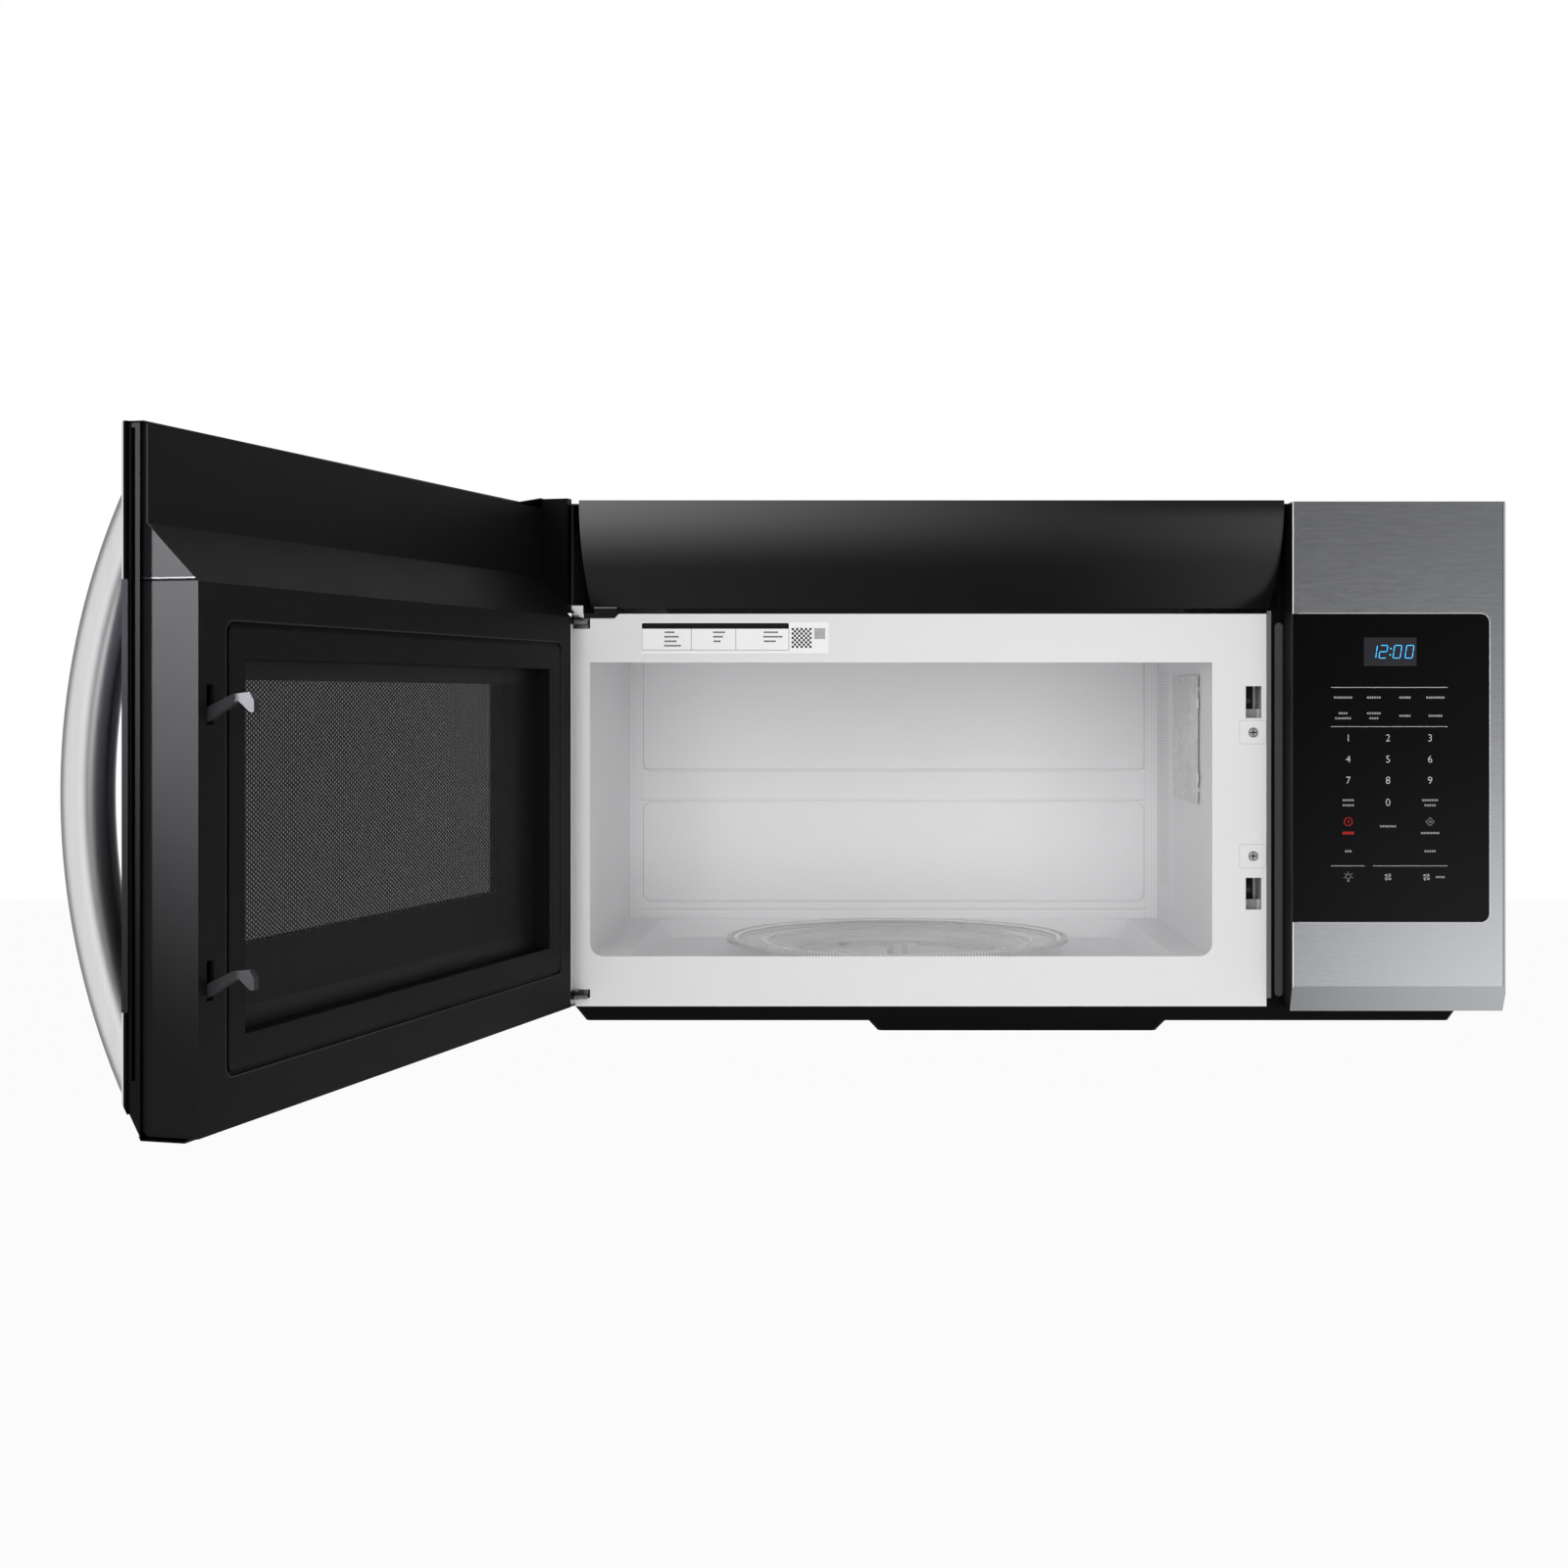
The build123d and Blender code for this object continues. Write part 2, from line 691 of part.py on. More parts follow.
def make_roller_wheel(number):
    wheel = rod_x(roller, roller_ring_radius - roller_width / 2,
                  roller_ring_radius + roller_width / 2, 0, 0)
    wheel -= rod_x(roller_axle + running_clearance, roller_ring_radius - roller_width,
                   roller_ring_radius + roller_width, 0, 0)
    return Pos(tray_x, tray_y, roller_z) * Rot(0, 0, 120 * (number - 1)) * wheel


# Vent


def grille_curve(radius_less, length):
    """The (y, z) outline under the grille's curved front, as a closed face at x = 0."""
    drop = case_top - grille_low
    bow = (grille_bulge ** 2 + drop ** 2) / (2 * grille_bulge)
    centre = grille_y + bow
    radius = bow - radius_less
    low = grille_low + radius_less
    high = case_top - radius_less
    y_low = centre - math.sqrt(radius ** 2 - (case_top - low) ** 2)
    y_mid = centre - math.sqrt(radius ** 2 - ((case_top - low) / 2) ** 2)
    y_high = centre - math.sqrt(radius ** 2 - radius_less ** 2)
    arc = ThreePointArc((0, y_low, low), (0, y_mid, (case_top + low) / 2), (0, y_high, high))
    back = grille_y + length
    rest = Polyline((0, y_high, high), (0, back, high), (0, back, low), (0, y_low, low))
    return make_face([arc, rest])


def make_vent_grille():
    x0 = -grille_left
    x1 = grille_right
    y_low = grille_y + grille_bulge
    outer = Pos(x0, 0, 0) * extrude(grille_curve(0, grille_reach), x1 - x0, dir=(1, 0, 0))
    inner = Pos(x0 + grille_wall, 0, 0) * extrude(grille_curve(grille_wall, grille_reach + 1),
                                                  x1 - x0 - 2 * grille_wall, dir=(1, 0, 0))
    drop = case_top - grille_low
    bow = (grille_draw ** 2 + drop ** 2) / (2 * grille_draw)
    bend = bow - math.sqrt(bow ** 2 - (drop / 2) ** 2)
    middle = case_top - drop / 2
    sides = [
        ThreePointArc((x0, 0, case_top), (x0 + bend, 0, middle), (x0 + grille_draw, 0, grille_low)),
        Line((x0 + grille_draw, 0, grille_low), (x1 - grille_draw, 0, grille_low)),
        ThreePointArc((x1 - grille_draw, 0, grille_low), (x1 - bend, 0, middle), (x1, 0, case_top)),
        Line((x1, 0, case_top), (x0, 0, case_top)),
    ]
    window = Pos(0, -depth, 0) * extrude(make_face(sides), depth, dir=(0, 1, 0))
    shell = (outer - inner) & window
    floor_front = y_low + sheet
    shell -= block(x0, x1, floor_front + 3, 0, grille_low - 1, case_top - grille_wall - 12)
    first = (x0 + x1) / 2 - louvre_pitch * (louvre_count - 1) / 2
    for count in range(louvre_count):
        x = first + count * louvre_pitch
        shell -= block(x - louvre_width / 2, x + louvre_width / 2, grille_y + 20,
                       grille_y + 20 + louvre_length, case_top - grille_wall - 1, case_top + 1)
    lap = frame_front - 0.8
    shell += prism_y([(x0 + 0.3, tongue_low), (x0 + tongue_width - 4, tongue_low),
                      (x0 + tongue_width, frame_top + 0.3), (x0 + 0.3, frame_top + 0.3)],
                     lap, frame_front)
    return shell + block(x0 + grille_draw + 2, x0 + tongue_width - 2, lap, y_low + 2,
                         frame_top + 0.1, grille_low + 1)


def make_charcoal_filter():
    z0 = cavity_top + liner
    x0 = opening_x0 + 62.5
    x1 = opening_x1 - 21.3
    pad = block(x0, x1, frame_back + 8, frame_back + 20, z0, z0 + 84)
    return pad - block(x0 + 6, x1 - 6, frame_back + 7, frame_back + 10, z0 + 6, z0 + 78)


def duct_box(inset, z0, z1):
    return block(-duct_width / 2 + inset, duct_width / 2 - inset,
                 -duct_back - duct_depth + inset, -duct_back - inset, z0, z1)


def flap_axis():
    """Place of the damper's hinge line, as (y, z)."""
    return -duct_back - sheet - flap_pin - 1, case_top + 5


def make_exhaust_adapter():
    collar = duct_box(0, case_top, case_top + duct_height)
    collar += duct_box(-10, case_top, case_top + sheet)
    collar -= duct_box(sheet, case_top - 1, case_top + duct_height + 1)
    hole = rod_x(flap_pin + running_clearance, -duct_width / 2 - 1, duct_width / 2 + 1, *flap_axis())
    return collar - hole


def make_damper_flap():
    y, z = flap_axis()
    x = duct_width / 2 - sheet - 0.5
    flap = block(-x, x, -duct_back - duct_depth + sheet + 2, y, z - flap_sheet / 2, z + flap_sheet / 2)
    return flap + rod_x(flap_pin, -x - 2.5, x + 2.5, y, z)


def scroll_ends():
    """Near and far end of each scroll from the middle, along X."""
    start = blower_middle / 2 + 3
    return start, start + blower_length + 2 * blower_wall + 4


def make_blower_housing():
    near, far = scroll_ends()
    floor = cavity_top + liner
    room = blower_radius + 6
    housing = block(-far, far, blower_y - room - blower_wall, blower_y + room + blower_wall,
                    floor, floor + 4)
    for side in (-1, 1):
        x0, x1 = sorted((side * near, side * far))
        scroll = block(x0, x1, blower_y - room - blower_wall, blower_y + room + blower_wall,
                       floor + 4, blower_z + room + blower_wall)
        scroll -= rod_x(room - 2, x0 + blower_wall, x1 - blower_wall, blower_y, blower_z)
        scroll -= block(x0 + blower_wall, x1 - blower_wall, blower_y - 28, blower_y + 28,
                        blower_z, blower_z + room + 5)
        scroll -= rod_x(blower_radius - 8, x1 - 3 if side > 0 else x0 - 1,
                        x1 + 1 if side > 0 else x0 + 3, blower_y, blower_z)
        housing += scroll
    return housing - rod_x(blower_shaft + 2, -far - 1, far + 1, blower_y, blower_z)


def make_blower_motor():
    motor = rod_x(motor_radius, -blower_middle / 2, blower_middle / 2, blower_y, blower_z)
    motor += block(-20, 20, blower_y - 18, blower_y + 18, cavity_top + liner + 4,
                   blower_z - motor_radius + 6)
    return motor - rod_x(blower_shaft + running_clearance, -blower_middle, blower_middle,
                         blower_y, blower_z)


def make_blower_wheels():
    near, far = scroll_ends()
    parts = rod_x(blower_shaft, -far + 8, far - 8, 0, 0)
    for side in (-1, 1):
        x0, x1 = sorted((side * (near + blower_wall + 2), side * (far - blower_wall - 2)))
        inner_x = x0 if side > 0 else x1 - 2
        outer_x = x1 - 3 if side > 0 else x0
        parts += rod_x(blower_radius, inner_x, inner_x + 2, 0, 0)
        parts += rod_x(blower_radius, outer_x, outer_x + 3, 0, 0) - rod_x(
            blower_radius - 6, outer_x - 1, outer_x + 4, 0, 0)
        for count in range(blade_count):
            blade = block(x0, x1, -0.8, 0.8, blower_radius - 6, blower_radius - 0.5)
            parts += Rot(360 * count / blade_count, 0, 0) * blade
    return Pos(0, blower_y, blower_z) * parts


# Cooling fan


def make_fan_shroud():
    reach = fan_radius + 14
    plate = block(fan_x - reach, fan_x + reach, -fan_duct, -fan_duct + 2, -reach, reach)
    plate -= rod_y(fan_radius + 4, fan_x, -fan_duct - 1, -fan_duct + 3, 0)
    for side in (-1, 1):
        x0, x1 = sorted((fan_x + side * (reach - 1.5), fan_x + side * reach))
        plate += block(x0, x1, -fan_duct, rear - sheet, -reach, reach)
    return plate + block(fan_x - reach, fan_x + reach, -24, -20, -9, 9)


def make_fan_motor():
    motor = rod_y(19, fan_x, -52, -24, 0)
    return motor - rod_y(fan_shaft + running_clearance, fan_x, -53, -34, 0)


def make_fan_blade():
    blades = rod_y(fan_shaft, 0, -fan_front + 4, -36, 0) + rod_y(13, 0, -fan_front, -fan_duct - 4, 0)
    for count in range(fan_blades):
        blade = Pos(0, -fan_front + 8, fan_radius / 2 + 5) * Rot(0, 0, 32) * Box(
            26, 1.6, fan_radius - 13)
        blades += Rot(0, 360 * count / fan_blades, 0) * blade
    return Pos(fan_x, 0, 0) * blades


# Control panel


def make_control_fascia():
    shell = prism_x(front_profile(0, frame_front), panel_left, right)
    shell = round_front(shell, right, front_corner)
    room = prism_x(front_profile(sheet, frame_front + 1), panel_left - 1, right - sheet)
    shell -= round_front(room, right - sheet, front_corner - sheet)
    glass_end = right - glass_margin
    pocket = block(panel_left - 30, glass_end, front - 1, front + sheet + 1, glass_z0, glass_z1)
    return shell - fillet(pocket.edges().filter_by(Axis.Y), glass_corner)


def make_control_glass():
    pane = block(panel_left, right - glass_margin - 0.3, front, front + glass,
                 glass_z0 + 0.3, glass_z1 - 0.3)
    corners = pane.edges().filter_by(Axis.Y).sort_by(Axis.X)[-2:]
    return fillet(corners, glass_corner)


def make_control_housing():
    gap = sheet + face_clearance
    x0 = panel_left + 0.3
    x1 = right - gap - 2
    shell = prism_x(front_profile(gap, frame_front), x0, x1)
    shell -= prism_x(front_profile(gap + 2, frame_front - 2), x0 + 2, x1 - 2)
    shell += block(x0, x1, front + gap, front + glass + 2, glass_z0 - 6, glass_z1 + 6)
    shell -= block(x0 - 1, right - glass_margin, front - 1, front + glass, glass_z0, glass_z1)
    shell -= display_block(front, 0.3)
    plate = block(frame_right + 0.3, case_x, frame_front, frame_back, case_low, frame_top)
    plate += block(grille_right + 0.5, case_x, frame_front, frame_back, frame_top, case_top)
    rib = slab_y(frame_right + 5.5, panel_left, frame_front - 1, frame_front, bottom + 2,
                 upper_arm + 1, 3)
    opening = block(x0 + 30, x1 - 30, frame_front - 3, frame_back + 1, bottom + 40, top - 40)
    return shell + plate + rib - opening


def display_block(y0, gap):
    """The display's block, grown all round by gap, from y0 to its back."""
    x = panel_left + 78.4
    return block(x - 24 - gap, x + 24 + gap, y0, front + glass + 14, 70 - gap, 99 + gap)


def make_display_module():
    return display_block(front + glass, 0)


def make_control_board():
    y = front + glass + 14
    board = block(panel_left + 16, right - 16, y, y + 1.6, bottom + 60, top - 50)
    for x in (panel_left + 24, right - 24):
        for z in (bottom + 68, top - 58):
            board += rod_y(3, x, y + 1.6, frame_front - 2, z)
    board += block(panel_left + 30, panel_left + 66, y + 1.6, y + 20, -110, -70)
    return board + block(panel_left + 80, panel_left + 100, y + 1.6, y + 16, -110, -80)


# Interlock


def make_latch_body():
    back = frame_back + 31
    body = block(slot_start - 7, slot_end + 7, frame_back, back + 4,
                 slot_low - latch_pitch - 12, slot_high + 12)
    tip = min(z for out, z in hook_points if out > 20)
    for drop in (0, latch_pitch):
        room = block(slot_start - 2, slot_end + 1, frame_back - 1, back,
                     slot_low - 4 - drop, slot_high + 3 - drop)
        catch = block(slot_start - 2, slot_end + 1, door_back + 15, door_back + 18.5,
                      slot_low - 4 - drop, tip - catch_clearance - drop)
        body -= room - catch
        body -= rod_y(plunger + running_clearance, latch_x, back - 1, back + 5, 45 - drop)
    body -= block(slot_start - 2, slot_end + 1, frame_back + 4, back + 5, -60, -4)
    for z in screw_z:
        body -= rod_y(frame_screw + running_clearance, screw_x, frame_back - 1, frame_back + 18, z)
    return body


def make_switch(drop):
    y0 = frame_back + 35
    switch = block(latch_x - 5, latch_x + 5, y0, y0 + 18, 31 - drop, 60 - drop)
    for z in (36 - drop, 54 - drop):
        switch += block(latch_x - 0.5, latch_x + 0.5, y0 + 18, y0 + 26, z - 3, z + 3)
    return switch - rod_y(plunger + running_clearance, latch_x, y0 - 1, y0 + 12, 45 - drop)


def make_plunger(drop):
    out = max(point[0] for point in hook_points)
    return rod_y(plunger, latch_x, door_back + out + catch_clearance, frame_back + 44, 45 - drop)


# Hinges


def make_hinge(z):
    reach = hinge_x + 10
    plate = block(hinge_x - 2, reach, frame_back, frame_back + 2,
                  max(z - 10, case_low + sheet), min(z + 12, frame_top))
    plate += block(hinge_x - 1.5, reach, hinge_y - 3, frame_back, z, z + arm_sheet)
    plate += rod_z(arm, hinge_x, hinge_y, z, z + arm_sheet)
    return plate + rod_z(pin, hinge_x, hinge_y, z, z + arm_sheet + 4.5)


def bracket_z(z):
    """Underside of the door's bracket above a hinge arm."""
    return z + arm_sheet + face_clearance + 0.7


# Door, drawn closed


def make_door_skin():
    back = hinge_y - 1
    skin = prism_x(front_profile(0, back), left, door_right)
    skin = round_front(skin, left, front_corner)
    room = prism_x(front_profile(sheet, back + 1), left + sheet, door_right - sheet)
    skin -= round_front(room, left + sheet, front_corner - sheet)
    skin -= block(left - 1, door_right + 1, front + skin_top_return, 0, 0, top + 1)
    skin -= block(left - 1, left + 2 * sheet, front + skin_side_return, 0, bottom - 1, top)
    skin -= block(door_right - sheet - 1, door_right + 1, front + 3.5, 0, bottom + 2 * sheet, top + 1)
    skin -= block(door_right - sheet, door_right + 1, front + 3.5, 0, bottom - 1, top + 1)
    pocket = block(left + glass_margin, door_right + 30, front - 1, front + sheet + 1,
                   glass_z0, glass_z1)
    skin -= fillet(pocket.edges().filter_by(Axis.Y), glass_corner)
    skin -= block(door_right - 2 * sheet, door_right + 1, front - 1, front + 5, glass_z0, glass_z1)
    for z in handle_screw_z():
        skin -= rod_y(handle_screw + 0.3, hinge_x + handle_from_axis, front - 1, front + 3, z)
    fold = front + skin_top_return
    return skin + prism_y([(left + 1.5, top - 0.5), (left + 1.5, top + tab_rise - 0.8),
                           (left + 10, top + tab_rise), (left + tab_length, top + 0.5),
                           (left + tab_length, top - 0.5)], fold - sheet, fold)


def make_door_glass():
    pane = block(left + glass_margin + 0.3, door_right, front, front + glass,
                 glass_z0 + 0.3, glass_z1 - 0.3)
    corners = pane.edges().filter_by(Axis.Y).sort_by(Axis.X)[:2]
    return fillet(corners, glass_corner)


def handle_screw_z():
    """Heights of the two handle screws."""
    middle = (glass_z0 + glass_z1) / 2
    return [middle - handle_screw_spacing / 2 * side for side in (-1, 1)]


def latch_guides():
    """The U shaped guides that the latch bar slides in, and its spring's seat."""
    guides = []
    for z in (-90, -20, 20):
        guide = block(latch_x - 6, latch_x + 6, outer_back_y, door_back - 17, z, z + 12)
        guide -= block(latch_x - latch_width / 2 - 0.3, latch_x + latch_width / 2 + 0.3,
                       door_back - 22.8, door_back, z - 1, z + 13)
        guides.append(guide)
    seat = block(latch_x - 6, latch_x + 6, outer_back_y, door_back - 8,
                 spring_top(), spring_top() + 3)
    return guides + [seat]


def spring_top():
    return 58 + 0.3 + spring_length + 0.3


def make_door_outer_frame():
    gap = sheet + 0.1
    x1 = door_right - gap
    frame = prism_x(front_profile(gap, hinge_y), left + gap, x1)
    frame = round_front(frame, left + gap, front_corner - gap)
    frame -= block(left, door_right, outer_back_y, 0, bottom, top)
    frame -= block(left + glass_margin, door_right, front - 1, front + glass,
                   glass_z0 - 0.3, glass_z1 + 0.3)
    frame -= slab_y(hinge_x + window_start, hinge_x + window_end, front - 1, outer_back_y + 1,
                    glass_z0 + window_margin, glass_z1 - window_margin, 9)
    frame -= block(x1 - 5, x1 + 1, front + 5.5, front + 8, bottom + 34, top - 4)
    for z in handle_screw_z():
        frame -= rod_y(handle_screw + 0.3, hinge_x + handle_from_axis, front, outer_back_y + 1, z)
        frame -= rod_y(5, hinge_x + handle_from_axis, outer_back_y - 3, outer_back_y + 1, z)
    cap_front = front + skin_top_return + 0.1
    cap_right = hinge_x + recess_start - 0.3
    frame += block(left + 1.5, cap_right, cap_front, cap_front + cap_depth, recess_low + 1,
                   top + cap_rise)
    frame += block(left + 1.5, cap_right, front + 8, cap_front + 1, recess_low + 1,
                   top - sheet - 0.1)
    for guide in latch_guides():
        frame += guide
    return frame


def make_door_inner_frame():
    y0 = outer_back_y
    y1 = door_back - cover_wall - 1
    x0 = cover_x0 + cover_wall + 1
    low = -cover_drop + cover_wall + 1
    high = ramp_bottom - 3.5
    frame = block(x0, steel_right, y0, y1, low, high)
    frame -= block(x0 + frame_sheet, steel_right - frame_sheet, y0 - 1, y1 - frame_sheet,
                   low + frame_sheet, high - frame_sheet)
    x_low = hinge_x + step_start
    x_high = hinge_x + step_end
    frame += block(x_low - 4, x_high + 4, screen_y, y1, step_low - 4, step_high + 4)
    frame -= block(x_low - 3, x_high + 3, y0, y1 + 1, step_low - 3, step_high + 3)
    for z in (upper_arm, lower_arm):
        under = bracket_z(z)
        over = under + 2
        frame += rod_z(arm, hinge_x, hinge_y, under, over)
        frame += block(hinge_x, x0 + 1, hinge_y - 12, hinge_y - 1, under, over)
        frame += block(x0, x0 + frame_sheet, hinge_y - 16, hinge_y - 1, low, over)
        frame -= rod_z(pin + bush_wall, hinge_x, hinge_y, under - 1, over + 1)
    return frame


def make_window_screen():
    return block(hinge_x + step_start - 4, hinge_x + step_end + 4, screen_y - screen_sheet, screen_y,
                 step_low - 4, step_high + 4)


def cover_profile(inset):
    """The inner cover's (y, z) outline: main face, ramp and recess along the top."""
    lean = inset * math.tan(math.atan2(recess_depth, ramp_top - ramp_bottom) / 2)
    return [
        (door_back - inset, -cover_drop + inset),
        (door_back - inset, ramp_bottom - lean),
        (recess_y - inset, ramp_top - lean),
    ]


def make_choke_cover():
    outer_top = top - sheet - face_clearance
    outer = cover_profile(0) + [(recess_y, outer_top), (outer_back_y, outer_top),
                                (outer_back_y, -cover_drop + 3), (outer_back_y + 3, -cover_drop)]
    room = cover_profile(cover_wall) + [(outer_back_y - 5, ramp_top - cover_wall),
                                        (outer_back_y - 5, -cover_drop + cover_wall)]
    end_x = hinge_x + recess_start
    cover = prism_x(outer, cover_x0, cover_x1)
    cover += prism_x(outer, end_x, cover_x0) & block(left, right, front, 0, recess_low, top)
    inner = prism_x(room, cover_x0 + cover_wall, cover_x1 - cover_wall)
    inner += prism_x(room, end_x + cover_wall, cover_x0 + 2 * cover_wall) & block(
        left, right, front, 0, recess_low + cover_wall, top)
    cover -= inner
    groove = slab_y(hinge_x + groove_start, hinge_x + groove_end, door_back - groove_depth,
                    door_back + 1, groove_low, groove_high, groove_corner)
    groove -= slab_y(hinge_x + groove_start + groove_width, hinge_x + groove_end - groove_width,
                     door_back - groove_depth - 1, door_back + 2, groove_low + groove_width,
                     groove_high - groove_width, groove_corner - groove_width)
    cover -= groove
    x_low = hinge_x + step_start
    x_high = hinge_x + step_end
    cover += block(x_low - 2, x_high + 2, screen_y, door_back - 1, step_low - 2, step_high + 2)
    cover -= block(x_low, x_high, screen_y - 5, door_back + 1, step_low, step_high)
    for drop in (0, latch_pitch):
        cover -= block(latch_x - slot_room / 2, latch_x + slot_room / 2, door_back - 8,
                       door_back + 1, 31.8 - drop, 55 - drop)
    for z in (upper_arm, lower_arm):
        cover -= block(cover_x0 - 1, cover_x0 + 3, hinge_y - 13, hinge_y, bracket_z(z) - 0.6,
                       bracket_z(z) + 2.6)
    return cover


def make_door_handle():
    x = hinge_x + handle_from_axis
    middle = (glass_z0 + glass_z1) / 2
    bar_y = front - handle_reach + handle_section / 2
    swing = math.degrees(math.asin(handle_half / handle_arc))
    axis = Axis((0, bar_y + handle_arc, middle), (1, 0, 0))
    section = Pos(x, bar_y, middle) * RectangleRounded(handle_width, handle_section, handle_corner)
    bar = revolve(section.rotate(axis, -swing), axis, 2 * swing)
    bar -= block(x - 60, x + 60, front, 0, bottom, top)
    for z in handle_screw_z():
        bar -= rod_y(handle_screw, x, front - 12, front + 1, z)
    return bar


def make_handle_screws():
    x = hinge_x + handle_from_axis
    screws = []
    for z in handle_screw_z():
        screw = rod_y(handle_screw, x, front - 10, outer_back_y - 3, z)
        screw += rod_y(4.5, x, outer_back_y - 3, outer_back_y, z)
        screws.append(screw)
    return Compound(children=[solid for screw in screws for solid in screw.solids()])


def make_hinge_bushes():
    bushes = []
    for z in (upper_arm, lower_arm):
        under = bracket_z(z)
        bush = rod_z(pin + bush_wall, hinge_x, hinge_y, under, under + 2)
        bush += rod_z(pin + bush_wall + 0.8, hinge_x, hinge_y, under - 0.7, under)
        bush -= rod_z(pin + running_clearance, hinge_x, hinge_y, under - 2, under + 3)
        bushes.append(bush)
    return Compound(children=[solid for bush in bushes for solid in bush.solids()])


def make_latch_bar():
    x0 = latch_x - latch_width / 2
    x1 = latch_x + latch_width / 2
    bar = block(x0, x1, door_back - 22.5, door_back - 6.5, -latch_pitch + 30, 58)
    for drop in (0, latch_pitch):
        bar += prism_x([(door_back + out, z - drop) for out, z in hook_points], x0, x1)
    return bar


def make_latch_spring():
    pitch = spring_length / spring_turns
    path = Helix(pitch, spring_length - spring_wire, spring_radius)
    wire = Plane(origin=path @ 0, z_dir=path % 0) * Circle(spring_wire / 2)
    coil = sweep(wire, path)
    return Pos(latch_x, door_back - 14.5, 58 + 0.3 + spring_wire / 2) * coil


# Wall plate's cord grommet


def make_cord_bushing():
    ring = rod_z(bushing, cord_x, cord_y, case_top - 5, case_top)
    ring += rod_z(bushing + 4, cord_x, cord_y, case_top, case_top + 2)
    return ring - rod_z(cord_hole, cord_x, cord_y, case_top - 6, case_top + 3)


cabinet_pieces = {
    "wall_plate": make_wall_plate(),
    "back_panel": make_back_panel(),
    "outer_case": make_outer_case(),
    "base_pan": make_base_pan(),
    "lamp_housing": make_lamp_housing(),
    "cooktop_lamps": make_cooktop_lamps(),
    "lamp_cover": make_lamp_cover(),
    "grease_filter_left": make_grease_filter(-1),
    "grease_filter_right": make_grease_filter(1),
    "front_frame": make_front_frame(),
    "frame_screws": make_frame_screws(),
    "cavity_liner": make_cavity_liner(),
    "cavity_lamp": make_cavity_lamp(),
    "waveguide_cover": make_waveguide_cover(),
    "waveguide": make_waveguide(),
    "magnetron": make_magnetron(),
    "hv_transformer": make_hv_transformer(),
    "hv_capacitor": make_hv_capacitor(),
    "noise_filter_board": make_noise_filter_board(),
    "turntable_motor": make_turntable_motor(),
    "drive_coupler": make_drive_coupler(),
    "glass_tray": make_glass_tray(),
    "roller_ring": make_roller_ring(),
    "vent_grille": make_vent_grille(),
    "charcoal_filter": make_charcoal_filter(),
    "exhaust_adapter": make_exhaust_adapter(),
    "damper_flap": make_damper_flap(),
    "blower_housing": make_blower_housing(),
    "blower_motor": make_blower_motor(),
    "blower_wheels": make_blower_wheels(),
    "fan_shroud": make_fan_shroud(),
    "fan_motor": make_fan_motor(),
    "fan_blade": make_fan_blade(),
    "control_fascia": make_control_fascia(),
    "control_glass": make_control_glass(),
    "control_housing": make_control_housing(),
    "display_module": make_display_module(),
    "control_board": make_control_board(),
    "latch_body": make_latch_body(),
    "primary_switch": make_switch(0),
    "secondary_switch": make_switch(latch_pitch),
    "primary_plunger": make_plunger(0),
    "secondary_plunger": make_plunger(latch_pitch),
    "hinge_upper": make_hinge(upper_arm),
    "hinge_lower": make_hinge(lower_arm),
    "cord_bushing": make_cord_bushing(),
}
for wheel in (1, 2, 3):
    cabinet_pieces[f"roller_wheel_{wheel}"] = make_roller_wheel(wheel)

door_pieces = {
    "door_skin": make_door_skin(),
    "door_glass": make_door_glass(),
    "door_outer_frame": make_door_outer_frame(),
    "door_inner_frame": make_door_inner_frame(),
    "window_screen": make_window_screen(),
    "choke_cover": make_choke_cover(),
    "door_handle": make_door_handle(),
    "handle_screws": make_handle_screws(),
    "hinge_bushes": make_hinge_bushes(),
    "latch_bar": make_latch_bar(),
    "latch_spring": make_latch_spring(),
}

os.makedirs("parts", exist_ok=True)
for node, shape in cabinet_pieces.items():
    export_step(shape, f"parts/{node}.step")
for node, shape in door_pieces.items():
    export_step(hang(shape), f"parts/{node}.step")
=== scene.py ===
"""Finishes, small printed pieces, stage and camera for an over the range microwave oven.

Lengths are in metres in the model's own frame: +X right, +Y to the wall, +Z up, with the
origin on the wall behind the middle of the door and control panel. The door stands open.
"""

import json
import math

import bmesh
import bpy
from bpy.props import FloatProperty, FloatVectorProperty, PointerProperty
from mathutils import Matrix, Vector


